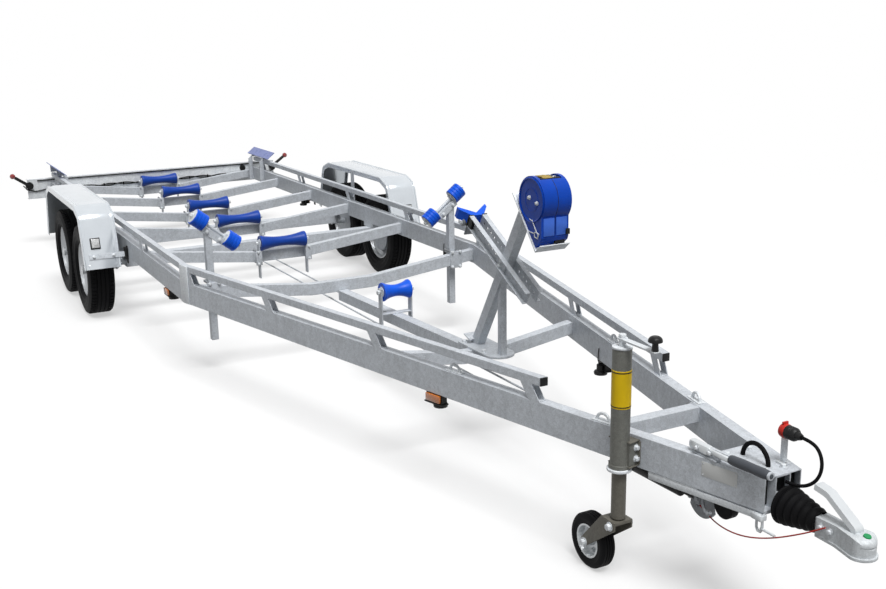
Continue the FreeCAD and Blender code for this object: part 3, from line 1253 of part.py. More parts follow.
def cord(name, radius, points):
    # A round cable along straight runs joined by tangent arcs.
    edges = []
    here = points[0]
    bends = []
    for index in range(1, len(points) - 1):
        corner = points[index]
        back = points[index - 1] - corner
        ahead = points[index + 1] - corner
        set_back = bend_share * min(back.Length, ahead.Length)
        back.normalize()
        ahead.normalize()
        half_turn = (math.pi - back.getAngle(ahead)) / 2
        bend = set_back / math.tan(half_turn)
        bends.append(bend)
        start = corner + back * set_back
        end = corner + ahead * set_back
        inward = (back + ahead).normalize()
        middle = corner + inward * (bend / math.cos(half_turn) - bend)
        edges.append(Part.makeLine(here, start))
        edges.append(Part.Arc(start, middle, end).toShape())
        here = end
    edges.append(Part.makeLine(here, points[-1]))
    print(name, "bend radii", [round(bend) for bend in bends])
    path = doc.addObject("Part::Feature", name + "_path")
    path.Shape = Part.Wire(edges)
    ring = doc.addObject("Part::Circle", name + "_ring")
    bound(ring, Radius=radius)
    ring.Placement = Placement(points[0], Rotation(Z_AXIS, points[1] - points[0]))
    sweep = doc.addObject("Part::Sweep", name + "_sweep")
    sweep.Sections = [ring]
    sweep.Spine = (path, ["Edge%d" % (count + 1) for count in range(len(edges))])
    sweep.Solid = True
    sweep.Frenet = False
    return sweep


plug_end = plug_x + plug_length * 0.8
cable_route = [at(plug_end, plug_y, plug_z), at(3706, plug_y, plug_z), at(3745, 64, 680), at(3770, 60, 650),
               at(3779, 52, 613), at(3769, 42, 577), at(3741, 28, 552), at(3705, 14, 545),
               at(draw_length, 14, 545)]
node("plug_cable", cord("plug_cable", cable_radius, cable_route))
breakaway_radius = cell("breakaway_radius", 2.5)
breakaway_route = [at(3351.9, -65, 349), at(3412, -76, 334), at(3474, -85, 328), at(3540, -90, 332),
                   at(3606, -91, 345), at(3670, -86, 366), at(3732, -77, 393), at(3790, -64, 424),
                   at(3842, -49, 454), at(3886, -32.6, 484)]
node("breakaway_cable", cord("breakaway_cable", breakaway_radius, breakaway_route))

# Wiring held all the way: the harness along the light bar's front, and the half ring of hose on the nose plate
harness_radius = cell("harness_radius", 5.0)
hose_radius = cell("hose_radius", 8.0)
hose_bend = cell("hose_bend", 60.0)
hose_inset = cell("hose_inset", 130.0)
harness_half = bar_half_length - lamp_inset
harness = rod("harness", harness_radius, 2 * harness_half,
              at(bar_front + harness_radius, -harness_half, bar_top - 3 * harness_radius), Y_AXIS)
hose = doc.addObject("Part::Torus", "hose_ring")
bound(hose, Radius1=hose_bend, Radius2=hose_radius)
hose.Placement = axes(at(draw_length - hose_inset, 0, beam_top), X_AXIS, Z_AXIS)
hose_cut = block("hose_cut", 3 * hose_bend, 3 * hose_bend, 3 * hose_bend,
                 at(draw_length - hose_inset, 0, beam_top - 1.5 * hose_bend))
node("wiring", apart("wiring", harness, less("hose", hose, hose_cut)))

# Every piece is checked, and each node goes to a file of its own
doc.recompute()
faults = [item.Name for item in doc.Objects if set(item.State) & {"Invalid", "Error"}]
for label, item in NODES.items():
    shape = item.Shape
    if shape.isNull() or not shape.isValid() or not shape.Solids:
        faults.append(label)
if faults:
    raise RuntimeError("pieces that failed: " + ", ".join(faults))
os.makedirs("parts", exist_ok=True)
for label, item in NODES.items():
    item.Shape.exportStep("parts/%s.step" % label)
print(len(NODES), "nodes written")
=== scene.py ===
"""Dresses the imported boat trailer: zinc, tyres, rollers, winch, wiring, fixings and the studio."""

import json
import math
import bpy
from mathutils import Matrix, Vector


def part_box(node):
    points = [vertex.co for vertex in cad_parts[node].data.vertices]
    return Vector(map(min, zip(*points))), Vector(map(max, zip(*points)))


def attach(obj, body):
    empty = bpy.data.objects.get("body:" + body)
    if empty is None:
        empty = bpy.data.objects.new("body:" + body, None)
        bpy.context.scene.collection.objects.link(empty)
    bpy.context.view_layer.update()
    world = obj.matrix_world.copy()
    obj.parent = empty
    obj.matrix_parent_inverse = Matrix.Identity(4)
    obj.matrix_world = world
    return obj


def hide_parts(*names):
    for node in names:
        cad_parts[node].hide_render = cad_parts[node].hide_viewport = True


bl_info = {
    "name": "Boat Trailer Dressing",
    "version": (1, 0, 0),
    "blender": (4, 5, 0),
    "location": "View3D > Sidebar > Trailer",
    "description": "Builds the finishes and small fittings of a tandem boat trailer round its packed frame",
    "category": "Object",
}

import bmesh
import bpy
from bpy.props import FloatProperty, FloatVectorProperty, IntProperty, PointerProperty
from mathutils import Matrix, Vector

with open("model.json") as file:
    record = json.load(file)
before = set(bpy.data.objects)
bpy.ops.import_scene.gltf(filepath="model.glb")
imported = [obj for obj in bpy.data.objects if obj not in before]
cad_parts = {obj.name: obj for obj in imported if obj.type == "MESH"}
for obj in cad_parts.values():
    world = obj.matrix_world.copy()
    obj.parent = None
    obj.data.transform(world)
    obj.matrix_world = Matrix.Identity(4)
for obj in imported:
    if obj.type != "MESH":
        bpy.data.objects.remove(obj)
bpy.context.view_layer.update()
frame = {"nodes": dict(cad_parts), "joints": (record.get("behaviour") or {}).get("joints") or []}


def node_box(name):
    low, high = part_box(name)
    return Vector(low), Vector(high)


def drawn(length):
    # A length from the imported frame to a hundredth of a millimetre, as it was drawn.
    return round(length, 5)


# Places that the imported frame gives. The beams run straight up to the bend, and from there in to the nose.
PIVOTS = {joint["name"]: Vector(joint["pos_m"]) for joint in frame["joints"] if "pos_m" in joint}
beam_high = node_box("main_beam_left")[1]
BEND_X = drawn(node_box("keel_beam")[0].x)
BEAM_FACE = drawn(beam_high.y)
BEAM_TOP = drawn(beam_high.z)
BEAM_WIDTH = 0.050
DRAW_BAR = drawn(beam_high.x - BEND_X)
DRAW_IN = 0.900
BEND = math.atan2(DRAW_IN, DRAW_BAR)
SLANT = 1 / math.cos(BEND)
BAR_FACE_X = drawn(node_box("light_bar")[1].x)
KEEL_ROLLERS = [PIVOTS["keel_roller_%d_spin" % number] for number in range(1, 6)]
BOW_ROLLER = PIVOTS["bow_roller_spin"]
AXLES_X = (PIVOTS["wheel_front_right_spin"].x, PIVOTS["wheel_rear_right_spin"].x)
PLUG_X = 3.622
PLUG_Y = BEAM_FACE - DRAW_IN / DRAW_BAR * PLUG_X - BEAM_WIDTH * SLANT + 0.025
PLUG_Z = 0.690
SIDES = {"right": -1, "left": 1}
WHEELS = ("front_right", "front_left", "rear_right", "rear_left")


class FinishSettings(bpy.types.PropertyGroup):
    zinc: FloatVectorProperty(name="Zinc", description="Colour of the galvanised steel", subtype="COLOR",
                              size=3, default=(0.575, 0.607, 0.647), min=0, max=1)
    spangle: FloatProperty(name="Spangle", description="Size of the zinc's crystals", default=0.014,
                           min=0.002, unit="LENGTH", subtype="DISTANCE")
    blue: FloatVectorProperty(name="Roller blue", description="Colour of the keel rollers", subtype="COLOR",
                              size=3, default=(0.007, 0.054, 0.35), min=0, max=1)
    bright_blue: FloatVectorProperty(name="Bright blue", description="Colour of side rollers and bow stop",
                                     subtype="COLOR", size=3, default=(0.005, 0.104, 0.73), min=0, max=1)
    rubber: FloatVectorProperty(name="Rubber", description="Colour of tyres and bellows", subtype="COLOR",
                                size=3, default=(0.0035, 0.0035, 0.004), min=0, max=1)


class TyreSettings(bpy.types.PropertyGroup):
    radius: FloatProperty(name="Tyre radius", description="Outer radius of a road tyre", default=0.318,
                          unit="LENGTH", subtype="DISTANCE")
    width: FloatProperty(name="Tyre width", description="Width across the sidewalls", default=0.185,
                         unit="LENGTH", subtype="DISTANCE")
    rim: FloatProperty(name="Rim radius", description="Radius where the bead sits", default=0.1903,
                       unit="LENGTH", subtype="DISTANCE")
    pitches: IntProperty(name="Tread pitches", description="Tread blocks round a shoulder", default=66, min=12)
    groove: FloatProperty(name="Groove depth", description="Depth of the tread grooves", default=0.007,
                          unit="LENGTH", subtype="DISTANCE")


class FixingSettings(bpy.types.PropertyGroup):
    bolt: FloatProperty(name="Wheel bolt size", description="Across the flats of a wheel bolt's head",
                        default=0.019, unit="LENGTH", subtype="DISTANCE")
    nuts: IntProperty(name="Wheel bolts", description="Bolts round each hub", default=5, min=3, max=8)


class StageSettings(bpy.types.PropertyGroup):
    floor: FloatVectorProperty(name="Floor", description="Colour of the studio floor", subtype="COLOR",
                               size=3, default=(0.88, 0.88, 0.88), min=0, max=1)
    key: FloatProperty(name="Key light", description="Strength of the soft light from above and in front",
                       default=3.1, min=0)
    sky: FloatProperty(name="Ambient", description="Strength of the light from all round", default=0.42, min=0)
    bounce: FloatProperty(name="Floor bounce", description="How much light the floor sends back up",
                          default=0.15, min=0, max=1, subtype="FACTOR")


# Materials


def link(tree, start, end):
    tree.links.new(start, end)


def finish_base(name, roughness, metallic=0.0, colour=(0.5, 0.5, 0.5), specular=0.5, coat=0.0):
    material = bpy.data.materials.new(name)
    material.use_nodes = True
    tree = material.node_tree
    shader = tree.nodes["Principled BSDF"]
    shader.inputs["Base Color"].default_value = (*colour, 1)
    shader.inputs["Roughness"].default_value = roughness
    shader.inputs["Metallic"].default_value = metallic
    shader.inputs["Specular IOR Level"].default_value = specular
    shader.inputs["Coat Weight"].default_value = coat
    return material, tree, shader


def where(tree, scale=(1, 1, 1)):
    place = tree.nodes.new("ShaderNodeTexCoord")
    stretch = tree.nodes.new("ShaderNodeMapping")
    stretch.inputs["Scale"].default_value = scale
    link(tree, place.outputs["Object"], stretch.inputs["Vector"])
    return stretch.outputs["Vector"]


def noise(tree, place, scale, detail=3.0, rough=0.55):
    node = tree.nodes.new("ShaderNodeTexNoise")
    node.inputs["Scale"].default_value = scale
    node.inputs["Detail"].default_value = detail
    node.inputs["Roughness"].default_value = rough
    link(tree, place, node.inputs["Vector"])
    return node.outputs["Fac"]


def cells(tree, place, scale, feature="F1"):
    node = tree.nodes.new("ShaderNodeTexVoronoi")
    node.feature = feature
    node.inputs["Scale"].default_value = scale
    link(tree, place, node.inputs["Vector"])
    return node


def shade(colour, factor):
    return tuple(min(1.0, channel * factor) for channel in colour)


def tones(tree, value, colour, span, factors):
    # The colour, from its darker to its lighter factor over a span of the value.
    node = tree.nodes.new("ShaderNodeValToRGB")
    for element, position, factor in zip(node.color_ramp.elements, span, factors):
        element.position = position
        element.color = (*shade(colour, factor), 1)
    link(tree, value, node.inputs["Fac"])
    return node.outputs["Color"]


def mix(tree, share, first, second):
    node = tree.nodes.new("ShaderNodeMix")
    node.data_type = "RGBA"
    for socket, value in ((node.inputs["Factor"], share), (node.inputs[6], first), (node.inputs[7], second)):
        if isinstance(value, bpy.types.NodeSocket):
            link(tree, value, socket)
        elif socket.type == "RGBA":
            socket.default_value = (*value, 1)
        else:
            socket.default_value = value
    return node.outputs[2]


def spread(tree, value, low, high):
    node = tree.nodes.new("ShaderNodeMapRange")
    node.inputs["To Min"].default_value = low
    node.inputs["To Max"].default_value = high
    link(tree, value, node.inputs["Value"])
    return node.outputs["Result"]


def bump(tree, shader, height, strength, distance, soften=0.0):
    # Relief from a height, over edges that are rounded by soften.
    node = tree.nodes.new("ShaderNodeBump")
    if soften:
        edge = tree.nodes.new("ShaderNodeBevel")
        edge.samples = 4
        edge.inputs["Radius"].default_value = soften
        link(tree, edge.outputs["Normal"], node.inputs["Normal"])
    node.inputs["Strength"].default_value = strength
    node.inputs["Distance"].default_value = distance
    link(tree, height, node.inputs["Height"])
    link(tree, node.outputs["Normal"], shader.inputs["Normal"])


def zinc_material(name, colour, spangle):
    # Crystals of slightly different greys, under soft clouds, upright runs and fine speckle.
    material, tree, shader = finish_base(name, 0.45, 0.15, specular=0.28)
    place = where(tree)
    crystals = cells(tree, place, 1 / spangle).outputs["Color"]
    speckle = noise(tree, place, 2.6 / spangle, 4.0)
    clouds = noise(tree, place, 7.0, 5.0, 0.65)
    runs = noise(tree, where(tree, (9.0, 9.0, 1.5)), 3.0, 4.0, 0.6)
    tone = tones(tree, crystals, colour, (0.15, 0.85), (0.72, 1.27))
    for share, layer, span, factors in ((0.45, clouds, (0.3, 0.7), (0.66, 1.22)),
                                        (0.25, runs, (0.35, 0.65), (0.74, 1.18)),
                                        (0.32, speckle, (0.3, 0.7), (0.60, 1.38))):
        tone = mix(tree, share, tone, tones(tree, layer, colour, span, factors))
    link(tree, tone, shader.inputs["Base Color"])
    link(tree, spread(tree, clouds, 0.40, 0.64), shader.inputs["Roughness"])
    bump(tree, shader, speckle, 0.16, 0.002, 0.004)
    return material


def webbing_material(name, colour):
    # Fine crossing threads with faded patches.
    material, tree, shader = finish_base(name, 0.85, 0.0, colour, 0.2)
    place = where(tree)
    threads = tree.nodes.new("ShaderNodeTexWave")
    threads.inputs["Scale"].default_value = 160.0
    threads.inputs["Distortion"].default_value = 0.6
    link(tree, place, threads.inputs["Vector"])
    woven = tones(tree, threads.outputs["Fac"], colour, (0.2, 0.8), (0.7, 1.2))
    faded = tones(tree, noise(tree, place, 40.0, 4.0), colour, (0.3, 0.7), (0.8, 1.25))
    link(tree, mix(tree, 0.5, woven, faded), shader.inputs["Base Color"])
    bump(tree, shader, threads.outputs["Fac"], 0.3, 0.001)
    return material


def moulded_material(name, colour, roughness, grain=260.0, coat=0.0, variation=0.12, specular=0.22):
    # Plastic with a fine moulded grain and worn, duller patches.
    material, tree, shader = finish_base(name, roughness, 0.0, colour, specular, coat)
    place = where(tree)
    wear = noise(tree, place, 14.0, 5.0, 0.65)
    worn = tones(tree, wear, colour, (0.3, 0.75), (1 - variation, 1 + variation))
    link(tree, worn, shader.inputs["Base Color"])
    link(tree, spread(tree, wear, max(0.05, roughness - 0.08), roughness + 0.12), shader.inputs["Roughness"])
    bump(tree, shader, noise(tree, place, grain, 3.0), 0.12, 0.0006)
    return material


def rubber_material(name, colour):
    # Black rubber with pale dust in its pores.
    material, tree, shader = finish_base(name, 0.62, 0.0, colour, 0.08)
    place = where(tree)
    dust = noise(tree, place, 9.0, 6.0, 0.6)
    link(tree, tones(tree, dust, colour, (0.35, 0.8), (1.0, 2.4)), shader.inputs["Base Color"])
    link(tree, spread(tree, dust, 0.52, 0.78), shader.inputs["Roughness"])
    bump(tree, shader, noise(tree, place, 420.0, 2.0), 0.2, 0.0006)
    return material


def painted_material(name, colour, roughness, metallic=0.35):
    # Silver paint: tiny flakes and a little dust under a thin clear coat.
    material, tree, shader = finish_base(name, roughness, metallic, colour, coat=0.2)
    place = where(tree)
    dust = tones(tree, noise(tree, place, 6.0, 4.0), colour, (0.3, 0.75), (0.9, 1.06))
    flakes = tones(tree, noise(tree, place, 900.0, 2.0), colour, (0.35, 0.65), (0.88, 1.12))
    link(tree, mix(tree, 0.3, dust, flakes), shader.inputs["Base Color"])
    bump(tree, shader, noise(tree, place, 160.0, 3.0), 0.06, 0.0008)
    return material


def lens_material(name, colour):
    # Clear moulded plastic over a grid of small prisms.
    material, tree, shader = finish_base(name, 0.12, 0.0, colour, 0.6, 0.6)
    prisms = cells(tree, where(tree), 150.0, "DISTANCE_TO_EDGE").outputs["Distance"]
    link(tree, tones(tree, prisms, colour, (0.05, 0.5), (0.6, 1.2)), shader.inputs["Base Color"])
    bump(tree, shader, prisms, 0.35, 0.001)
    return material


MATERIALS = {}
NODE_FINISHES = {
    "bellows": "soft_rubber", "bow_roller": "side_blue", "bow_stop": "side_blue", "brake_gear": "mid_zinc",
    "breakaway_cable": "red_cable", "coupling_handle": "handle", "coupling_head": "cast",
    "crank_knob": "black", "guide_plates": "guide", "jockey_crank": "bright_zinc",
    "jockey_fork": "fork_zinc", "jockey_rim": "handle", "jockey_stem": "fork_zinc",
    "jockey_tube": "tube_zinc", "jockey_tyre": "rubber", "lamp_housings": "black", "lamp_lenses": "red",
    "lashing_eyes": "bright_zinc", "light_bar": "pale_zinc", "marker_lenses": "amber",
    "mudguard_left": "silver", "mudguard_right": "silver", "plug": "black", "plug_cable": "soft_rubber",
    "winch_housing": "winch_blue", "wiring": "soft_rubber"}
FAMILY_FINISHES = {"tyre_": "rubber", "rim_": "rim", "side_roller_": "side_blue", "keel_roller_": "blue"}


def finish_of(node):
    families = [key for start, key in FAMILY_FINISHES.items() if node.startswith(start)]
    return NODE_FINISHES.get(node, families[0] if families else "zinc")


class TRAILER_OT_finishes(bpy.types.Operator):
    """Makes the materials and gives every carried-over solid its own"""

    bl_idname = "trailer.finishes"
    bl_label = "Finishes"

    def execute(self, context):
        look = context.scene.trailer_finish
        fine = look.spangle * 0.5
        MATERIALS.update({
            "zinc": zinc_material("galvanised_steel", look.zinc, look.spangle),
            "bright_zinc": zinc_material("zinc_plated_fixings", shade(look.zinc, 1.3), look.spangle * 0.4),
            "pale_zinc": zinc_material("light_bar_zinc", shade(look.zinc, 1.35), look.spangle),
            "dark_zinc": zinc_material("weathered_zinc", shade(look.zinc, 0.42), fine),
            "mid_zinc": zinc_material("brake_casting_zinc", shade(look.zinc, 0.62), fine),
            "guide": zinc_material("bluish_guide_steel", (0.22, 0.26, 0.50), look.spangle * 0.6),
            "tube_zinc": zinc_material("jockey_tube_zinc", (0.17, 0.172, 0.155), look.spangle * 0.7),
            "fork_zinc": zinc_material("jockey_fork_zinc", (0.135, 0.128, 0.108), look.spangle * 0.7),
            "cast": zinc_material("cast_coupling", (0.62, 0.65, 0.67), look.spangle * 0.6),
            "blue": moulded_material("blue_polyurethane", look.blue, 0.36, 90.0),
            "side_blue": moulded_material("bright_blue_polyurethane", look.bright_blue, 0.34, 120.0),
            "winch_blue": moulded_material("blue_winch_shell", (0.004, 0.060, 0.45), 0.30, 420.0, coat=0.03,
                                           variation=0.10, specular=0.14),
            # The front panels get a lighter blue than the shell: painted reflection of the light on the
            # winch's front.
            "panel_blue_painted_sheen": moulded_material("blue_winch_panel_painted_sheen", (0.060, 0.17, 0.70), 0.35, 600.0),
            "black": moulded_material("black_plastic", (0.007, 0.007, 0.0075), 0.42, 500.0),
            "grip": moulded_material("grey_grip", (0.075, 0.082, 0.095), 0.5, 700.0),
            "white_hub": moulded_material("white_hub_plastic", (0.74, 0.76, 0.78), 0.4, 300.0, variation=0.06),
            "red_cable": moulded_material("red_cable_sheath", (0.42, 0.03, 0.02), 0.4, 300.0),
            "red_cap": moulded_material("red_plug_cap", (0.55, 0.03, 0.02), 0.35, 300.0),
            "yellow": moulded_material("yellow_band", (0.86, 0.58, 0.010), 0.45, 200.0, variation=0.06),
            "green": moulded_material("green_indicator", (0.02, 0.30, 0.10), 0.4, 200.0),
            "rubber": rubber_material("tyre_rubber", look.rubber),
            "soft_rubber": rubber_material("bellows_rubber", shade(look.rubber, 0.8)),
            "silver": painted_material("silver_mudguard", (0.66, 0.70, 0.74), 0.22, 0.55),
            "rim": painted_material("silver_wheel", (0.58, 0.60, 0.62), 0.35),
            "handle": painted_material("silver_handle", (0.68, 0.71, 0.73), 0.3, 0.3),
            "plate": painted_material("blank_type_plate", (0.66, 0.67, 0.66), 0.5, 0.1),
            "red": lens_material("red_lens", (0.42, 0.012, 0.010)),
            "amber": lens_material("amber_lens", (0.75, 0.20, 0.012)),
            "clear": lens_material("clear_lens", (0.82, 0.83, 0.83)),
            "webbing": webbing_material("winch_webbing", (0.42, 0.31, 0.10)),
        })
        for name, item in frame["nodes"].items():
            slots = item.data.materials
            if not slots:
                slots.append(None)
            for index in range(len(slots)):
                slots[index] = MATERIALS[finish_of(name)]
        return {"FINISHED"}


# Shapes


def to_piece(name, mesh, material, body):
    bmesh.ops.remove_doubles(mesh, verts=mesh.verts, dist=1e-5)
    bmesh.ops.recalc_face_normals(mesh, faces=mesh.faces)
    data = bpy.data.meshes.new(name)
    mesh.to_mesh(data)
    mesh.free()
    data.materials.append(MATERIALS[material])
    data.shade_smooth()
    data.set_sharp_from_angle(angle=math.radians(32))
    item = bpy.data.objects.new(name, data)
    bpy.context.scene.collection.objects.link(item)
    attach(item, body)
    return item


def join(target, extra):
    # Adds one mesh to another.
    data = bpy.data.meshes.new("passing")
    extra.to_mesh(data)
    extra.free()
    target.from_mesh(data)
    bpy.data.meshes.remove(data)


def piece_of(name, parts, material, body="chassis"):
    mesh = parts[0]
    for extra in parts[1:]:
        join(mesh, extra)
    return to_piece(name, mesh, material, body)


def moved(x, y, z):
    return Matrix.Translation((x, y, z))


def frame_at(point, along, up=(0, 0, 1)):
    # A matrix whose Z runs along a direction.
    z = Vector(along).normalized()
    x = Vector(up).cross(z)
    if x.length < 1e-6:
        x = Vector((1, 0, 0)).cross(z)
    if x.length < 1e-6:
        x = Vector((0, 1, 0)).cross(z)
    x.normalize()
    y = z.cross(x)
    turn = Matrix((x, y, z)).transposed().to_4x4()
    return Matrix.Translation(point) @ turn


def on_side(side, along, height, out=0.0):
    # A place on the outer face of a main beam: X along it from the bend, Y up and Z outwards.
    turn = BEND if along > 0 else 0.0
    line = Vector((math.cos(turn), -side * math.sin(turn), 0))
    outward = Vector((math.sin(turn), side * math.cos(turn), 0))
    return frame_at(Vector((BEND_X, side * BEAM_FACE, height)) + line * along + outward * out, outward)


def box(size, place=Matrix(), edge=0.0):
    mesh = bmesh.new()
    bmesh.ops.create_cube(mesh, size=1.0)
    bmesh.ops.scale(mesh, vec=Vector(size), verts=mesh.verts)
    if edge:
        bmesh.ops.bevel(mesh, geom=mesh.edges[:], offset=edge, segments=2, profile=0.5, affect="EDGES",
                        material=-1)
    bmesh.ops.transform(mesh, matrix=place, verts=mesh.verts)
    return mesh


def disc(radius, depth, place=Matrix(), segments=24, top=None, edge=0.0):
    # A short round bar that stands on its place; top is its radius at the far end.
    mesh = bmesh.new()
    bmesh.ops.create_cone(mesh, cap_ends=True, cap_tris=False, segments=segments, radius1=radius,
                          radius2=radius if top is None else top, depth=depth)
    if edge:
        rims = [e for e in mesh.edges if abs(e.verts[0].co.z - e.verts[1].co.z) < 1e-6]
        bmesh.ops.bevel(mesh, geom=rims, offset=edge, segments=2, profile=0.5, affect="EDGES", material=-1)
    bmesh.ops.transform(mesh, matrix=place @ moved(0, 0, depth / 2), verts=mesh.verts)
    return mesh


def hex_bolt(size, place, washer=True):
    # A hexagon head, size across its flats, on its washer; Z points out of the face.
    seat = 0.002 if washer else 0
    mesh = disc(size * 0.577, size * 0.55, place @ moved(0, 0, seat), 6, edge=size * 0.05)
    if washer:
        join(mesh, disc(size * 0.78, seat, place, 20))
    return mesh


def bolts(name, spots, size, body="chassis"):
    # Bolt heads at (point, outward) spots, as one piece.
    heads = [hex_bolt(size, frame_at(Vector(spot), outward)) for spot, outward in spots]
    return piece_of(name, heads, "bright_zinc", body)


def tube_along(radius, points, segments=8):
    # A bent bar with round section: short runs between points, with mitred turns.
    mesh = bmesh.new()
    rings = []
    for index, point in enumerate(points):
        ahead = (points[min(index + 1, len(points) - 1)] - points[max(index - 1, 0)]).normalized()
        before = (point - points[index - 1]).normalized() if index else ahead
        place = frame_at(point, ahead, (0.03, 0.02, 1) if abs(ahead.z) < 0.9 else (1, 0, 0))
        grow = 1 / max(0.5, before.dot(ahead)) if index else 1
        ring = bmesh.ops.create_circle(mesh, segments=segments, radius=radius * grow, matrix=place)["verts"]
        rings.append(ring)
    for first, second in zip(rings, rings[1:]):
        edges = [e for e in mesh.edges if set(e.verts) <= set(first) or set(e.verts) <= set(second)]
        bmesh.ops.bridge_loops(mesh, edges=edges)
    for ring in (rings[0], rings[-1]):
        edges = [e for e in mesh.edges if set(e.verts) <= set(ring)]
        bmesh.ops.contextual_create(mesh, geom=edges)
    return mesh


def spun(outline, place, steps=48, closed=True):
    # An outline of (radius, along) points turned about the place's Z axis.
    mesh = bmesh.new()
    verts = [mesh.verts.new((radius, 0, along)) for radius, along in outline]
    edges = [mesh.edges.new(pair) for pair in zip(verts, verts[1:])]
    if closed:
        edges.append(mesh.edges.new((verts[-1], verts[0])))
    bmesh.ops.spin(mesh, geom=verts + edges, cent=(0, 0, 0), axis=(0, 0, 1), angle=math.tau, steps=steps,
                   use_merge=True)
    bmesh.ops.remove_doubles(mesh, verts=mesh.verts, dist=1e-5)
    bmesh.ops.transform(mesh, matrix=place, verts=mesh.verts)
    return mesh


def collar(inner, outer, low, high, place, steps=48, inset=0.0):
    # A flat ring from low to high along the place's Z, its far edge drawn in by inset.
    return spun([(inner, low), (outer, low), (outer - inset, high), (inner, high)], place, steps)


def rounded(points, radii, steps=7):
    # A polyline in one plane with its corners rounded.
    line = []
    for index, (point, radius) in enumerate(zip(points, radii)):
        here = Vector(point)
        if not radius:
            line.append(tuple(here))
            continue
        back = (Vector(points[index - 1]) - here).normalized()
        on = (Vector(points[index + 1]) - here).normalized()
        reach = radius / math.tan(back.angle(on) / 2)
        for step in range(steps + 1):
            share = step / steps
            first = here + back * reach * (1 - share)
            last = here + on * reach * share
            line.append(tuple(first.lerp(last, share)))
    return line


def band(line, centre, half, thick, edge):
    # A raised strip along a line in the XZ plane, out from a centre, with sloping sides.
    profile = ((-half, -0.001), (half, -0.001), (half, 0.0005), (half - edge, thick), (edge - half, thick),
               (-half, 0.0005))
    places = []
    for index, (x, z) in enumerate(line):
        before = Vector(line[max(0, index - 1)])
        after = Vector(line[min(len(line) - 1, index + 1)])
        run = Vector((after.x - before.x, 0, after.y - before.y)).normalized()
        out = Vector((-run.z, 0, run.x))
        spot = Vector((x, centre.y, z))
        if out.dot(spot - centre) < 0:
            out.negate()
        turn = Matrix((run, Vector((0, 1, 0)), out)).transposed().to_4x4()
        places.append(Matrix.Translation(spot) @ turn)
    mesh = bmesh.new()
    caps = [mesh.faces.new([mesh.verts.new(places[0] @ Vector((0, wide, high))) for wide, high in profile])]
    for last, place in zip(places, places[1:]):
        made = bmesh.ops.extrude_face_region(mesh, geom=caps[-1:])["geom"]
        caps += [item for item in made if isinstance(item, bmesh.types.BMFace)]
        bmesh.ops.transform(mesh, matrix=place @ last.inverted(), verts=list(caps[-1].verts))
    bmesh.ops.delete(mesh, geom=caps[1:-1], context="FACES_ONLY")
    return mesh


# Pieces


def groove(crest, foot, middle, half, foot_half):
    # One tread groove of a tyre's outline, from crest radius down to foot radius.
    return [(crest, middle - half), (foot, middle - foot_half), (foot, middle + foot_half),
            (crest, middle + half)]


def tyre_outline(ribs, side):
    # The tread between two mirrored sidewalls.
    return [(radius, -across) for radius, across in reversed(side)] + ribs + side


class TRAILER_OT_tyres(bpy.types.Operator):
    """Road tyres with grooved tread, shoulder blocks and raised sidewall rings"""

    bl_idname = "trailer.tyres"
    bl_label = "Road tyres"

    def execute(self, context):
        size = context.scene.trailer_tyre
        outer = size.radius
        rim = size.rim
        half = size.width / 2
        crown = half * 0.72
        groove_half = 0.005
        ribs = [(outer - 0.0006, -crown)]
        for share in (-0.62, -0.22, 0.22, 0.62):
            ribs += groove(outer - 0.0003, outer - size.groove, share * crown, groove_half, groove_half * 0.6)
        ribs.append((outer - 0.0006, crown))
        side = [(outer - 0.010, half * 0.86), (outer - 0.030, half * 0.925), (outer - 0.045, half * 0.965),
                (outer - 0.048, half * 0.952), (outer - 0.075, half * 0.985), (outer - 0.078, half * 0.965),
                (rim + 0.028, half * 0.90), (rim + 0.022, half * 0.915), (rim + 0.010, half * 0.80),
                (rim, half * 0.70)]
        for name in WHEELS:
            place = frame_at(PIVOTS["wheel_%s_spin" % name], (0, 1, 0))
            mesh = spun(tyre_outline(ribs, side), place, size.pitches * 2)
            self.cut_shoulders(mesh, place, size, crown)
            item = to_piece("road_tyre_" + name, mesh, "rubber", "wheel_" + name)
            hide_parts("tyre_" + name)
        return {"FINISHED"}

    def cut_shoulders(self, mesh, place, size, crown):
        # Sinks every second face of both shoulders, so that blocks stand between them.
        back = place.inverted()
        steps = size.pitches * 2
        sunk = []
        for face in mesh.faces:
            spot = back @ face.calc_center_median()
            step = round(math.atan2(spot.y, spot.x) / math.tau * steps - 0.5) % steps
            on_tread = math.hypot(spot.x, spot.y) > size.radius - 0.008
            if on_tread and abs(spot.z) > crown * 0.70 and step % 2 == 0:
                sunk.append(face)
        for face in bmesh.ops.extrude_discrete_faces(mesh, faces=sunk)["faces"]:
            inward = place.translation - face.calc_center_median()
            inward.y = 0
            bmesh.ops.translate(mesh, verts=list(face.verts), vec=inward.normalized() * size.groove * 0.7)


class TRAILER_OT_wheel_fixings(bpy.types.Operator):
    """The bolts that hold each wheel to its hub"""

    bl_idname = "trailer.wheel_fixings"
    bl_label = "Wheel fixings"

    def execute(self, context):
        fix = context.scene.trailer_fixing
        bolt_circle = 0.056
        face_out = 0.0251
        for name in WHEELS:
            side = SIDES[name.split("_")[1]]
            hub = PIVOTS["wheel_%s_spin" % name] + Vector((0, side * face_out, 0))
            turns = [math.tau * index / fix.nuts for index in range(fix.nuts)]
            spots = [(hub + Vector((math.cos(turn), 0, math.sin(turn))) * bolt_circle, (0, side, 0))
                     for turn in turns]
            bolts("wheel_bolts_" + name, spots, fix.bolt, "wheel_" + name)
        return {"FINISHED"}


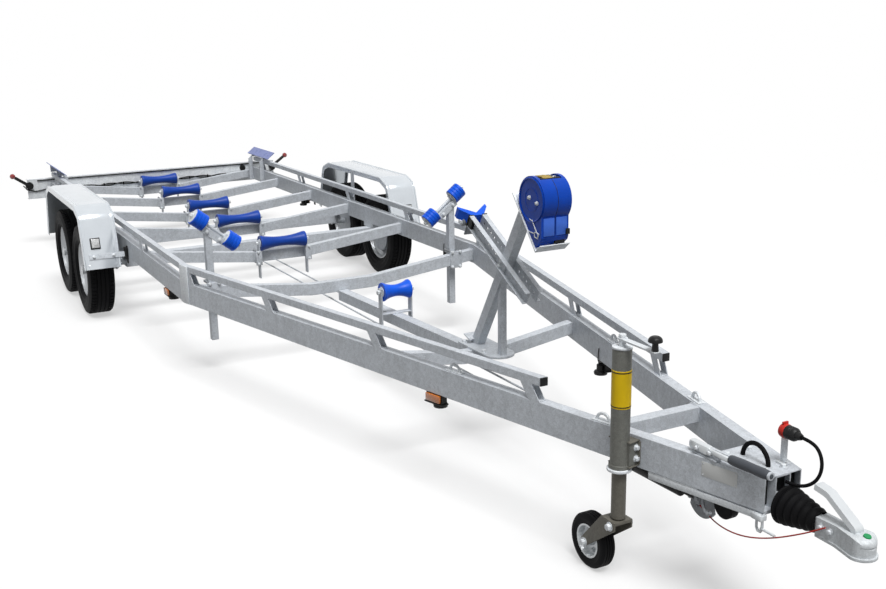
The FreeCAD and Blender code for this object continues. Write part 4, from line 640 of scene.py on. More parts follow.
class TRAILER_OT_jockey(bpy.types.Operator):
    """Jockey wheel: yellow band, rings, clamp, bolts and grooved tyre"""

    bl_idname = "trailer.jockey"
    bl_label = "Jockey wheel"

    def execute(self, context):
        self.dress_tube()
        self.dress_wheel()
        return {"FINISHED"}

    def dress_tube(self):
        caster = PIVOTS["jockey_caster"]
        tube = moved(caster.x, caster.y, 0)
        sleeve = [(0.0351, 0.689), (0.0359, 0.690), (0.0359, 0.829), (0.0351, 0.830)]
        piece_of("jockey_band", [spun(sleeve, tube)], "yellow")
        edges = [collar(0.0355, 0.0363, low, low + 0.004, tube) for low in (0.694, 0.821)]
        piece_of("jockey_band_edges", edges, "black")
        cap = [(0.0330, 0.9122), (0.0366, 0.9060), (0.0366, 0.9135), (0.0140, 0.9165), (0.0140, 0.9122)]
        foot = [(0.0396, 0.4465), (0.0455, 0.4490), (0.0455, 0.4570), (0.0396, 0.4600)]
        crank_bolt = hex_bolt(0.024, frame_at(Vector((caster.x, caster.y, 0.943)), (0, 0, 1)))
        piece_of("jockey_rings", [spun(cap, tube), spun(foot, tube), crank_bolt], "bright_zinc")
        along = 3.14 * SLANT - 0.0124
        clamp = [box((0.100, 0.004, 0.056), on_side(-1, along, height, 0.026), 0.001)
                 for height in (0.562, 0.468)]
        clamp.append(box((0.110, 0.086, 0.004), on_side(-1, along, 0.515, 0.002), 0.001))
        piece_of("jockey_clamp_plates", clamp, "fork_zinc")
        front = on_side(-1, along + 0.044, 0.5, 0.014)
        ahead = front.to_3x3() @ Vector((1, 0, 0))
        spots = [(front.translation + Vector((0, 0, rise)), ahead) for rise in (-0.006, 0.036)]
        bolts("jockey_clamp_bolts", spots, 0.017)

    def dress_wheel(self):
        wheel = PIVOTS["jockey_wheel_spin"]
        fork_head = (3.447, 0.236)
        fork_out = 0.041
        rim_out = 0.0078
        fork_spots = [((x, wheel.y + side * fork_out, z), (0, side, 0)) for side in SIDES.values()
                      for x, z in ((wheel.x, wheel.z), fork_head)]
        bolts("jockey_fork_bolts", fork_spots, 0.023, "jockey_fork")
        rim_spots = [(wheel + Vector((0.038 * math.cos(turn), side * rim_out, 0.038 * math.sin(turn))),
                      (0, side, 0)) for side in SIDES.values() for turn in (0.4, 1.97, 3.54, 5.11)]
        bolts("jockey_wheel_bolts", rim_spots, 0.013, "jockey_wheel")
        side = [(0.1020, 0.0275), (0.0950, 0.0300), (0.0860, 0.0309), (0.0840, 0.0298), (0.0740, 0.0300),
                (0.0664, 0.0279)]
        ribs = [(0.1072, -0.0210)]
        for middle in (-0.0105, 0.0, 0.0105):
            ribs += groove(0.1074, 0.1045, middle, 0.002, 0.001)
        ribs.append((0.1072, 0.0210))
        tyre = piece_of("jockey_wheel_tyre", [spun(tyre_outline(ribs, side), frame_at(wheel, (0, 1, 0)), 72)],
                        "rubber", "jockey_wheel")
        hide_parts("jockey_tyre")


class TRAILER_OT_winch(bpy.types.Operator):
    """Winch: rims, front panels, split line, strap on its drum, crank clip, latch and back plate"""

    bl_idname = "trailer.winch"
    bl_label = "Winch details"

    def execute(self, context):
        # Cheek is how far each flat side of the shell stands out from the middle.
        centre = Vector((2.5485, 0, 1.285))
        cheek = drawn(node_box("winch_housing")[1].y)
        self.dress_shell(centre, cheek)
        self.wind_drum(centre)
        self.fit_crank(cheek)
        self.fill_mouth(centre)
        self.add_plate()
        return {"FINISHED"}

    def dress_shell(self, centre, cheek):
        rims = []
        for side in SIDES.values():
            face = frame_at(centre + Vector((0, side * cheek, 0)), (0, side, 0))
            outer = [(0.0880, 0), (0.0955, 0), (0.0955, 0.0030), (0.0920, 0.0050), (0.0880, 0.0025)]
            rims += [spun(outer, face, 64), collar(0.0470, 0.0505, 0, 0.0014, face)]
        piece_of("winch_rims", rims, "winch_blue")
        # The panels' lighter blue is painted reflection; the shell's own blue is the darker one.
        panels = [box((0.004, 0.054, 0.076), moved(2.6262, side * 0.0315, 1.177), 0.0015)
                  for side in SIDES.values()]
        piece_of("winch_panels", panels, "panel_blue_painted_sheen")
        turns = [math.radians(60 - 10 * step) for step in range(11)]
        seam = [centre + Vector((math.cos(turn), 0, math.sin(turn))) * 0.1002 for turn in turns]
        seam.append(Vector((2.6250, 0, 1.132)))
        piece_of("winch_seam", [tube_along(0.0013, seam, 6)], "black")

    def wind_drum(self, centre):
        drum = frame_at(centre, (0, 1, 0))
        core = 0.0425
        roll = [(core, -0.044), (0.0550, -0.044), (0.0565, -0.030), (0.0560, 0.0), (0.0568, 0.028),
                (0.0552, 0.044), (core, 0.044)]
        piece_of("winch_strap_roll", [spun(roll, drum)], "webbing")
        flanges = [collar(core, 0.0600, low, low + 0.003, drum) for low in (-0.0485, 0.0455)]
        piece_of("winch_drum_flanges", flanges, "bright_zinc")

    def fit_crank(self, cheek):
        # The shell's bolts, and the folded wire clip of the crank on its right side.
        heads = [((x, side * cheek, z), (0, side, 0)) for x, z in ((2.5348, 1.2931), (2.5926, 1.2764))
                 for side in SIDES.values()]
        bolts("winch_bolts", heads, 0.013)
        clip = [(2.5385, 1.2025), (2.5620, 1.1970), (2.5920, 1.1530), (2.6080, 1.1480), (2.6000, 1.1280),
                (2.5780, 1.1320), (2.5760, 1.1500), (2.5910, 1.1535)]
        pin = [(2.5326, 1.1488), (2.5690, 1.1460)]
        wire_y = -cheek - 0.0025
        wires = [tube_along(0.0024, [Vector((x, wire_y, z)) for x, z in line]) for line in (clip, pin)]
        piece_of("winch_crank_clip", wires, "bright_zinc")

    def fill_mouth(self, centre):
        # A black block in the shell's mouth, painted shade of the dark hollow inside it, then the strap's end
        # with its eye, and the latch.
        # A black block standing for the shaded inside of the mouth: painted shade.
        shade_block = box((0.088, 0.095, 0.040), moved(centre.x, 0, centre.z + 0.0725), 0.004)
        piece_of("winch_mouth_painted_shade", [shade_block], "black")
        strap = []
        for length, x, z, tilt in ((0.050, 2.5420, 1.3795, -0.06), (0.026, 2.5760, 1.3780, 0.20)):
            place = moved(x, -0.010, z) @ Matrix.Rotation(tilt, 4, "Y")
            strap.append(box((length, 0.046, 0.005), place, 0.002))
        piece_of("winch_strap_end", strap, "webbing")
        eye = frame_at(Vector((2.5720, 0.0300, 1.3700)), (1, 0.4, 0.3))
        piece_of("winch_strap_eye", [collar(0.0085, 0.0125, -0.002, 0.002, eye, 24)], "bright_zinc")
        latch = [box((0.014, 0.018, 0.024), moved(2.6290, 0.0600, 1.152), 0.002),
                 box((0.010, 0.050, 0.016), moved(2.6130, 0.0300, 1.1080), 0.002)]
        piece_of("winch_latch", latch, "black")

    def add_plate(self):
        # The plate that the winch stands on, across the top of the leaning column.
        outward = Vector((0.781, 0, 0.625))
        plate = frame_at(Vector((2.4962, 0, 1.1856)), outward)
        lip = [box((0.150, 0.292, 0.006), plate @ moved(0, -0.004, -0.0005), 0.001),
               box((0.150, 0.005, 0.050), plate @ moved(0, -0.1485, 0.024), 0.001)]
        piece_of("winch_plate_lip", lip, "bright_zinc")
        spots = [(plate @ Vector((side * 0.045, 0.112, 0.003)), outward) for side in SIDES.values()]
        bolts("winch_plate_bolts", spots, 0.014)


class TRAILER_OT_stand(bpy.types.Operator):
    """Winch stand: clamp plates, caps, base bolts, and the bow stop's bracket"""

    bl_idname = "trailer.stand"
    bl_label = "Winch stand"

    SLIDE_TILT = math.radians(28.6)
    COLUMN_LEAN = math.radians(31.5)

    def execute(self, context):
        up = Vector((math.sin(self.SLIDE_TILT), 0, math.cos(self.SLIDE_TILT)))
        line = Vector((up.z, 0, -up.x))
        crossing = Vector((2.2423, 0, 0.95))
        start = crossing - line * 0.3136
        self.clamp_slide(crossing, start, line, up)
        base = [((x, side * 0.055, 0.5), (0, 0, 1)) for x in (1.932, 2.120) for side in SIDES.values()]
        bolts("winch_base_bolts", base, 0.020)
        self.hold_bow_stop(start, line, up)
        lean = Matrix.Rotation(0.3, 4, "Y")
        gussets = [box((0.060, 0.050, 0.006), moved(1.945, side * 0.0245, 0.528) @ lean, 0.001)
                   for side in SIDES.values()]
        piece_of("column_foot_plates", gussets, "zinc")
        return {"FINISHED"}

    def clamp_slide(self, crossing, start, line, up):
        # Plates where the slide arms cross the column, and the caps in the arms' upper ends.
        lean = Vector((math.sin(self.COLUMN_LEAN), 0, math.cos(self.COLUMN_LEAN)))
        plates = []
        spots = []
        caps = []
        for side in SIDES.values():
            out = Vector((0, side, 0))
            plates.append(box((0.080, 0.051, 0.006), frame_at(crossing + out * 0.0293, out, up), 0.001))
            spots += [(crossing + out * 0.0323 + lean * rise, out) for rise in (-0.016, 0.016)]
            arm_end = start + out * 0.036
            caps.append(box((0.030, 0.051, 0.019), frame_at(arm_end + line * 0.017, out, up), 0.002))
            caps.append(box((0.004, 0.066, 0.026), frame_at(arm_end - line * 0.002, out, up), 0.001))
        piece_of("slide_clamp_plates", plates, "zinc")
        piece_of("slide_caps", caps, "black")
        bolts("slide_bolts", spots, 0.018)

    def hold_bow_stop(self, start, line, up):
        sleeve_length = 0.110
        sleeve = frame_at(start - line * 0.038 - up * 0.030 - Vector((0, sleeve_length / 2, 0)), (0, 1, 0))
        tube = [(0, 0), (0.020, 0), (0.023, 0.003), (0.023, sleeve_length - 0.003), (0.020, sleeve_length),
                (0, sleeve_length)]
        plate = box((0.090, 0.006, 0.100), frame_at(start - line * 0.004 - up * 0.034, up, line), 0.001)
        piece_of("bow_stop_bracket", [spun(tube, sleeve, 32, False), plate], "dark_zinc")
        ends = [(sleeve @ Vector((0, 0, reach)), (0, side, 0))
                for reach, side in ((0.0, -1), (sleeve_length, 1))]
        bolts("bow_stop_bolts", ends, 0.019)


class TRAILER_OT_side_rollers(bpy.types.Operator):
    """White hubs, rod nuts, saddle bolts and the posts' U-bolts"""

    bl_idname = "trailer.side_rollers"
    bl_label = "Side roller fittings"

    def execute(self, context):
        for hand, side in SIDES.items():
            centres = {which: PIVOTS["side_roller_%s_%s_spin" % (which, hand)]
                       for which in ("lower", "upper")}
            line = (centres["upper"] - centres["lower"]).normalized()
            self.fit_hubs(hand, centres, line)
            self.fit_head(hand, side, (centres["lower"] + centres["upper"]) / 2, line)
            self.clamp_post(hand, side * 0.80)
        return {"FINISHED"}

    def fit_hubs(self, hand, centres, line):
        hub = [(0.0098, 0.0400), (0.0400, 0.0400), (0.0425, 0.0412), (0.0400, 0.0428), (0.0300, 0.0424),
               (0.0270, 0.0432), (0.0160, 0.0432), (0.0150, 0.0428), (0.0098, 0.0428)]
        for which, centre in centres.items():
            faces = [spun(hub, frame_at(centre, line * way), 40) for way in (-1, 1)]
            which_one = "%s_%s" % (which, hand)
            piece_of("side_hub_" + which_one, faces, "white_hub", "side_roller_" + which_one)

    def fit_head(self, hand, side, head, line):
        rod_half = 0.1604
        nuts = [(head + line * way * rod_half, line * way) for way in (-1, 1)]
        bolts("side_rod_nuts_" + hand, nuts, 0.024)
        up = Vector((side, 0, 0)).cross(line)
        saddle = head - up * 0.033 + Vector((0.024, 0, 0))
        saddle_spots = [(saddle + line * shift, (1, 0, 0)) for shift in (-0.045, 0.045)]
        bolts("side_saddle_bolts_" + hand, saddle_spots, 0.016)

    def clamp_post(self, hand, y):
        # Two U-bolts round the post, through a plate on the cross member's front face.
        plate_x = 0.2966
        half = 0.027
        ties = []
        ends = []
        for height in (0.5435, 0.4475):
            path = [Vector((x, y + across, height)) for x, across in ((0.306, half), (0.1985, half),
                                                                      (0.1985, -half), (0.306, -half))]
            ties.append(tube_along(0.0048, path))
            ends += [((plate_x + 0.0026, y + across, height), (1, 0, 0)) for across in (half, -half)]
        piece_of("post_u_bolts_" + hand, ties, "dark_zinc")
        piece_of("post_plate_" + hand, [box((0.005, 0.084, 0.112), moved(plate_x, y, 0.4955), 0.001)], "zinc")
        bolts("post_nuts_" + hand, ends, 0.015)


class TRAILER_OT_keel_fittings(bpy.types.Operator):
    """U-bolts that hold the roller straps to the cross members, and the pins' nuts and washers"""

    bl_idname = "trailer.keel_fittings"
    bl_label = "Keel roller fittings"

    def execute(self, context):
        self.tie_straps()
        pins = []
        washers = []
        for rollers, nut_out, washer_out in ((KEEL_ROLLERS, 0.177, 0.1652), ([BOW_ROLLER], 0.0945, 0.0827)):
            for roller in rollers:
                for side in SIDES.values():
                    out = Vector((0, side, 0))
                    pins.append((roller + out * nut_out, out))
                    washers.append(collar(0.0150, 0.0300, washer_out, washer_out + 0.0032,
                                          frame_at(roller, out), 32, 0.0020))
        bolts("keel_pin_nuts", pins, 0.024)
        piece_of("keel_pin_washers", washers, "bright_zinc")
        return {"FINISHED"}

    def tie_straps(self):
        back = -0.0755
        front = 0.032
        heights = (0.4665, 0.3835)
        ties = []
        plates = []
        ends = []
        for roller in KEEL_ROLLERS:
            for side in SIDES.values():
                y = side * 0.186
                path = [Vector((roller.x + reach, y, height)) for reach, height in (
                    (front, heights[0]), (back, heights[0]), (back, heights[1]), (front, heights[1]))]
                ties.append(tube_along(0.0042, path))
                plate = moved(roller.x + 0.0225, side * 0.181, 0.425)
                plates.append(box((0.005, 0.044, 0.100), plate, 0.001))
                ends += [((roller.x + 0.025, y, height), (1, 0, 0)) for height in heights]
        piece_of("keel_u_bolts", ties, "dark_zinc")
        piece_of("keel_strap_plates", plates, "zinc")
        bolts("keel_u_bolt_nuts", ends, 0.014)


class TRAILER_OT_guard_fittings(bpy.types.Operator):
    """Mudguards' crowns and beads, white position lamps, stay bolts and frame brackets"""

    bl_idname = "trailer.guard_fittings"
    bl_label = "Mudguard fittings"

    def execute(self, context):
        low, high = node_box("mudguard_left")
        self.edge_guards(low, high)
        self.fit_lamps(high.x)
        self.fit_stays(low, high)
        return {"FINISHED"}

    def slope(self, way):
        # Which way a mudguard's end faces: way is 1 for the front end and -1 for the rear.
        return Vector((way * 0.955, 0, 0.296))

    def edge_guards(self, low, high):
        # A raised crown over each mudguard, beads along its edges and a bar across each end.
        ridge = rounded([(high.x, 0.395), (high.x - 0.110, 0.750), (high.x - 0.240, 0.800),
                         (low.x + 0.240, 0.800), (low.x + 0.110, 0.750), (low.x, 0.395)],
                        [0, 0.075, 0.110, 0.110, 0.075, 0])
        middle = (low + high) / 2
        crowns = []
        beads = []
        for side in SIDES.values():
            centre = Vector((middle.x, side * middle.y, 0.3))
            crowns.append(band(ridge, centre, 0.092, 0.0045, 0.012))
            for y in (high.y - 0.0035, low.y + 0.0035):
                beads.append(tube_along(0.0058, [Vector((x, side * y, z)) for x, z in ridge], 8))
            for x, way in ((high.x - 0.0077, 1), (low.x + 0.0077, -1)):
                end = frame_at(Vector((x, centre.y, 0.420)), self.slope(way))
                crowns.append(box((0.190, 0.012, 0.007), end, 0.003))
        piece_of("guard_crowns", crowns, "silver")
        piece_of("guard_beads", beads, "silver")

    def fit_lamps(self, front):
        shells = []
        lenses = []
        for side in SIDES.values():
            lamp = frame_at(Vector((front - 0.0511, side * 1.185, 0.562)), self.slope(1))
            shells.append(box((0.066, 0.078, 0.010), lamp @ moved(0, 0, 0.005), 0.003))
            lenses.append(box((0.052, 0.062, 0.012), lamp @ moved(0, 0, 0.014), 0.004))
            lenses.append(disc(0.017, 0.003, lamp @ moved(0, 0, 0.0195), 24, 0.013))
        piece_of("guard_lamp_shells", shells, "black")
        piece_of("guard_lamp_lenses", lenses, "clear")

    def fit_stays(self, low, high):
        heads = []
        brackets = []
        for side in SIDES.values():
            for x, way in ((high.x, 1), (low.x, -1)):
                heads += [((x - way * 0.0153, side * y, 0.478), self.slope(way)) for y in (1.075, 1.205)]
                along = x - way * 0.020 - BEND_X
                brackets.append(box((0.052, 0.080, 0.022), on_side(side, along, 0.480, 0.011), 0.003))
                brackets.append(box((0.030, 0.120, 0.006), on_side(side, along, 0.470, 0.003), 0.001))
        piece_of("guard_brackets", brackets, "black")
        bolts("guard_stay_bolts", heads, 0.016)


class TRAILER_OT_frame_fittings(bpy.types.Operator):
    """Black squares painted as shade at the rails' open ends, weld collars, flanges at the bends and the nose,
    axle bolts and the blank type plate
    """

    bl_idname = "trailer.frame_fittings"
    bl_label = "Frame fittings"

    def execute(self, context):
        self.shade_rail_ends()
        self.weld_members()
        self.add_flanges()
        self.bolt_axles()
        self.add_type_plate()
        return {"FINISHED"}

    def shade_rail_ends(self):
        # Black squares just beyond the rails' ends, the size of their hollow: painted shade of the open tubes'
        # dark insides.
        low, high = node_box("side_rail_left")
        caps = [box((0.005, 0.0345, 0.0345), moved(x, side * y, 0.6585), 0.001) for side in SIDES.values()
                for x, y in ((high.x + 0.0027, 0.2999), (low.x - 0.0027, 0.9625))]
        piece_of("rail_ends_painted_shade", caps, "black")

    def weld_members(self):
        # Collars where the cross members and the tie of the draw bar meet the beams.
        members = [BEND_X - 0.0325] + [roller.x - 0.045 for roller in KEEL_ROLLERS]
        tie_x = BEND_X + DRAW_BAR * 0.825
        welds = []
        for side in SIDES.values():
            welds += [box((0.060, 0.005, 0.080), moved(x, side * 0.9270, 0.5095), 0.001) for x in members]
            welds.append(box((0.060, 0.005, 0.067), moved(tie_x, side * 0.1805, 0.5445), 0.001))
        piece_of("weld_collars", welds, "zinc")

    def add_flanges(self):
        flanges = []
        for side in SIDES.values():
            for along in (-0.026, 0.026):
                flanges.append(box((0.058, 0.220, 0.006), on_side(side, along, 0.5655, 0.003), 0.001))
            flanges.append(box((0.4705, 0.024, 0.006), on_side(side, 3.4435 * SLANT, 0.4370, -0.004), 0.001))
            flanges.append(box((0.2110, 0.006, 0.040), on_side(side, 3.3175 * SLANT, 0.4520, -0.021), 0.001))
        piece_of("nose_flanges", flanges, "bright_zinc")

    def bolt_axles(self):
        seat_ahead = 0.15
        seats = [(on_side(side, x - BEND_X + seat_ahead + shift, 0.438).translation, (0, side, 0))
                 for side in SIDES.values() for x in AXLES_X for shift in (-0.055, 0.0, 0.055)]
        bolts("axle_seat_bolts", seats, 0.020)

    def add_type_plate(self):
        plate = on_side(-1, 3.5015 * SLANT, 0.5363, 0.0006)
        piece_of("type_plate", [box((0.141, 0.053, 0.0012), plate, 0.0004)], "plate")
        rivets = [disc(0.0032, 0.0016, plate @ moved(x, y, 0.0006), 12, 0.0018)
                  for x in (-0.064, 0.064) for y in (-0.0205, 0.0205)]
        piece_of("type_plate_rivets", rivets, "bright_zinc")


class TRAILER_OT_lamps(bpy.types.Operator):
    """Sectioned rear lenses, domed end lenses, marker lenses, sockets and the light bar's wiring"""

    bl_idname = "trailer.lamps"
    bl_label = "Lamps"

    def execute(self, context):
        lenses = {"amber": [], "red": [], "clear": []}
        black = []
        for side in SIDES.values():
            for name, y in (("amber", 1.0506), ("red", 0.9750), ("clear", 0.8994)):
                spot = moved(BAR_FACE_X - 0.0920, side * y, 0.522)
                lenses[name].append(box((0.0216, 0.0740, 0.1140), spot, 0.004))
            self.end_lamp(side, lenses["red"], black)
            self.wire_bar(side, black)
            for along in (0.57 * DRAW_BAR * SLANT, -0.4095, -3.094):
                self.side_marker(side, along, lenses["amber"], black)
        for name, parts in lenses.items():
            item = piece_of("lenses_" + name, parts, name)
            if name == "red":
                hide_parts("lamp_lenses")
            elif name == "amber":
                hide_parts("marker_lenses")
        piece_of("lamp_clips", black, "black")
        return {"FINISHED"}

    def end_lamp(self, side, red, black):
        # The round lamp on a stalk at the end of the bar.
        tip = frame_at(Vector((BAR_FACE_X + 0.018, side * 1.30555, 0.65392)), (1, 0, 0))
        dome = [(0, -0.0178), (0.012, -0.0165), (0.0205, -0.012), (0.0238, -0.003), (0.0238, 0.003),
                (0.0205, 0.012), (0.012, 0.0165), (0, 0.0178)]
        red.append(spun(dome, tip, 40, False))
        black.append(collar(0.0230, 0.0239, -0.003, 0.003, tip, 40))

    def wire_bar(self, side, black):
        # Two wires that wave along the bar's front face, their grommet, the lead to the stalk and the clips.
        wire_z = 0.508
        wire_radius = 0.0048
        clip_x = BAR_FACE_X + 0.0055
        grommet = frame_at(Vector((BAR_FACE_X + 0.0002, side * 0.86, 0.560)), (1, 0, 0))
        black.append(disc(0.030, 0.024, grommet, 32, 0.026, 0.002))
        for turn in (0.0, 2.4):
            run = [Vector((BAR_FACE_X + 0.0065 + 0.003 * math.cos(0.9 * step + turn),
                           side * (0.02 + 0.04 * step),
                           wire_z + 0.009 * math.sin(0.75 * step + turn))) for step in range(23)]
            black.append(tube_along(wire_radius, run, 6))
        tail = [(1.220, 0.560), (1.190, 0.520), (1.120, 0.500), (1.060, 0.506), (1.000, 0.520),
                (0.960, 0.512)]
        black.append(tube_along(wire_radius, [Vector((clip_x, side * y, z)) for y, z in tail], 6))
        for step in range(5):
            clip = moved(clip_x, side * (0.14 + 0.18 * step), wire_z)
            black.append(box((0.012, 0.010, 0.030), clip, 0.002))

    def side_marker(self, side, along, amber, black):
        # A marker under a beam: lens, bracket, lead and socket.
        amber.append(box((0.090, 0.0336, 0.0119), on_side(side, along, 0.434, 0.0033), 0.003))
        black.append(box((0.114, 0.007, 0.042), on_side(side, along, 0.4095, -0.016), 0.002))
        lead = [on_side(side, along, height, out).translation for height, out in (
            (0.436, -0.034), (0.440, -0.050), (0.455, -0.055), (0.492, -0.054), (0.512, -0.0515))]
        black.append(tube_along(0.0026, lead))
        socket = [(0, 0.0), (0.020, 0.0), (0.020, -0.026), (0.030, -0.030), (0.033, -0.036), (0.031, -0.046),
                  (0, -0.048)]
        spot = on_side(side, along, 0.4305, -0.040).translation
        black.append(spun(socket, moved(*spot), 24, False))


class TRAILER_OT_nose(bpy.types.Operator):
    """Plug with its red cap, bellows, coupling details, brake grip, strut, rod cover, damper and shackle"""

    bl_idname = "trailer.nose"
    bl_label = "Nose fittings"

    def execute(self, context):
        self.dress_plug()
        self.dress_coupling()
        self.dress_handbrake()
        self.dress_brake_gear()
        self.add_shackle()
        plate = [((x, side * y, BEAM_TOP), (0, 0, 1)) for x, y in ((3.760, 0.050), (3.930, 0.040))
                 for side in SIDES.values()]
        bolts("nose_plate_bolts", plate, 0.017)
        return {"FINISHED"}

    def dress_plug(self):
        axis = frame_at(Vector((BEND_X + PLUG_X, PLUG_Y, PLUG_Z)), (1, 0, 0))
        body = [(0, -0.0110), (0.0215, -0.0110), (0.0235, -0.0080), (0.0235, 0.0080), (0.0222, 0.0095),
                (0.0235, 0.0110), (0.0235, 0.0150), (0.0222, 0.0165), (0.0235, 0.0180), (0.0235, 0.0240),
                (0.0205, 0.0300), (0.0170, 0.0340), (0.0150, 0.0345), (0.0135, 0.0420), (0.0098, 0.0527),
                (0, 0.0527)]
        plug = piece_of("plug_body", [spun(body, axis, 40, False)], "black")
        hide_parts("plug")
        cap = [(0, -0.0345), (0.0140, -0.0345), (0.0225, -0.0315), (0.0247, -0.0260), (0.0247, -0.0100),
               (0.0238, -0.0080), (0, -0.0080)]
        tab = box((0.024, 0.012, 0.008), axis @ moved(0.0, 0.0260, -0.022), 0.002)
        piece_of("plug_cap", [spun(cap, axis, 40, False), tab], "red_cap")
        foot_bolt = frame_at(Vector((3.9180, PLUG_Y, 0.579)), (0, 0, 1))
        stud = [box((0.022, 0.012, 0.094), moved(3.9037, PLUG_Y, 0.6220), 0.002),
                box((0.040, 0.034, 0.004), moved(3.9037, PLUG_Y, 0.5770), 0.001),
                hex_bolt(0.011, foot_bolt, False)]
        piece_of("plug_stud", stud, "bright_zinc")

    def dress_coupling(self):
        # Bellows in five tapering folds, a black plate behind them that is painted shade in the housing's
        # cavity, and the coupling's dome and fixings.
        outline = [(0.0300, 0.0003), (0.0660, 0.0003), (0.0680, 0.0040), (0.0660, 0.0100), (0.0570, 0.0140)]
        for fold in range(5):
            crest = 0.0650 - 0.0056 * fold
            begin = 0.0140 + 0.0268 * fold
            outline += [(crest * 0.93, begin + 0.0050), (crest, begin + 0.0110), (crest, begin + 0.0150),
                        (crest * 0.93, begin + 0.0215), (crest * 0.81, begin + 0.0262)]
        outline += [(0.0360, 0.1500), (0.0360, 0.1528), (0.0300, 0.1528)]
        mouth = frame_at(Vector((node_box("bellows")[0].x, 0, 0.475)), (1, 0, 0))
        bellows = piece_of("bellows_folds", [spun(outline, mouth, 56)], "soft_rubber")
        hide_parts("bellows")
        # A black plate where the housing's cavity lies in shade: painted shade, not a part.
        shade_block = box((0.003, 0.158, 0.096), moved(3.9420, 0, 0.5140), 0.001)
        piece_of("housing_cavity_painted_shade", [shade_block], "black")
        dome = [(0, 0.0185), (0.008, 0.0183), (0.016, 0.0175), (0.024, 0.0158), (0.031, 0.0128),
                (0.037, 0.0083), (0.041, 0.0030), (0.0425, -0.0030), (0.0425, -0.0100), (0, -0.0100)]
        piece_of("coupling_dome", [spun(dome, moved(4.3036, 0, 0.4862), 56, False)], "cast")
        oval = frame_at(Vector((4.3195, 0, 0.5036)), (0.20, 0, 0.98))
        piece_of("coupling_indicator", [disc(0.0125, 0.0035, oval, 32, 0.0115)], "green")
        spots = [((x, side * 0.0262, 0.474), (0, side, 0)) for x in (4.1640, 4.2010)
                 for side in SIDES.values()]
        bolts("coupling_bolts", spots, 0.016)

    def dress_handbrake(self):
        start = Vector((3.7015, -0.11973, 0.6))
        line = Vector((0.165, 0.005632, 0.005))
        sleeve = [(0, -0.0200), (0.0150, -0.0200), (0.0168, -0.0120), (0.0180, 0.0350), (0.0168, 0.0850),
                  (0.0176, 0.1250), (0.0150, 0.1500), (0.0080, 0.1600), (0, 0.1622)]
        piece_of("brake_grip", [spun(sleeve, frame_at(start + line, line), 32, False)], "grip")
        shank = frame_at(start + line * 0.55 + Vector((0, 0, 0.002)), (0, -1, 0))
        knuckle = [box((0.100, 0.030, 0.034), moved(3.7060, -0.1197, 0.6010), 0.010),
                   box((0.110, 0.018, 0.028), shank, 0.006)]
        piece_of("brake_knuckle", knuckle, "handle")
        spots = [((x, y, 0.600), (0, -1, 0)) for x, y in ((3.7015, -0.1347), (3.7600, -0.1290))]
        bolts("brake_bolts", spots, 0.015)

    def dress_brake_gear(self):
        # Under the nose: gas strut, cover of the brake rod, hook of the lever and end of the damper.
        strut = frame_at(Vector((3.4170, -0.05, 0.4165)), (1, 0, 0))
        sleeve = [(0.0055, 0), (0.0170, 0), (0.0190, 0.0020), (0.0190, 0.2150), (0.0170, 0.2170),
                  (0.0055, 0.2170)]
        piece_of("gas_strut_sleeve", [spun(sleeve, strut, 32)], "black")
        cover = [(0, 0), (0.0180, 0), (0.0210, 0.0030), (0.0210, 0.2680), (0.0180, 0.2710), (0.0070, 0.2720),
                 (0.0070, 0.3350), (0, 0.3350)]
        rod = frame_at(Vector((3.3650, -0.1420, 0.4130)), (1, 0.03, 0))
        hanger = box((0.030, 0.006, 0.052), moved(3.3760, -0.1640, 0.4300), 0.001)
        piece_of("brake_rod_cover", [spun(cover, rod, 32, False), hanger], "black")
        hook_y = -0.1190
        hook = [(3.7200, 0.4350), (3.7270, 0.3980), (3.7380, 0.3760), (3.7580, 0.3700), (3.7690, 0.3800)]
        hook_bolt = frame_at(Vector((3.7060, -0.1250, 0.4120)), (0, -1, 0))
        arm = [tube_along(0.0062, [Vector((x, hook_y, z)) for x, z in hook]),
               box((0.016, 0.012, 0.060), moved(3.7060, hook_y, 0.4180), 0.002),
               hex_bolt(0.018, hook_bolt)]
        piece_of("brake_hook", arm, "mid_zinc")
        end = [(0, 0), (0.040, 0), (0.047, 0.005), (0.047, 0.035), (0.040, 0.040), (0, 0.040)]
        damper = frame_at(Vector((3.7750, -0.0760, 0.3970)), (0, 1, 0))
        piece_of("damper_end", [spun(end, damper, 48, False)], "soft_rubber")

    def add_shackle(self):
        # A hanging link with its pin, on a block beside the housing.
        y = -0.0790
        link = [Vector((3.9560 + shift, y, z)) for shift, z in (
            (-0.013, 0.447), (-0.013, 0.395), (-0.006, 0.384), (0.006, 0.384), (0.013, 0.395),
            (0.013, 0.447))]
        pin = [Vector((x, y, 0.396)) for x in (3.9620, 4.0260)]
        block = box((0.046, 0.030, 0.022), moved(3.9520, -0.0800, 0.4360), 0.004)
        piece_of("nose_shackle", [tube_along(0.0045, link), tube_along(0.0045, pin), block], "bright_zinc")


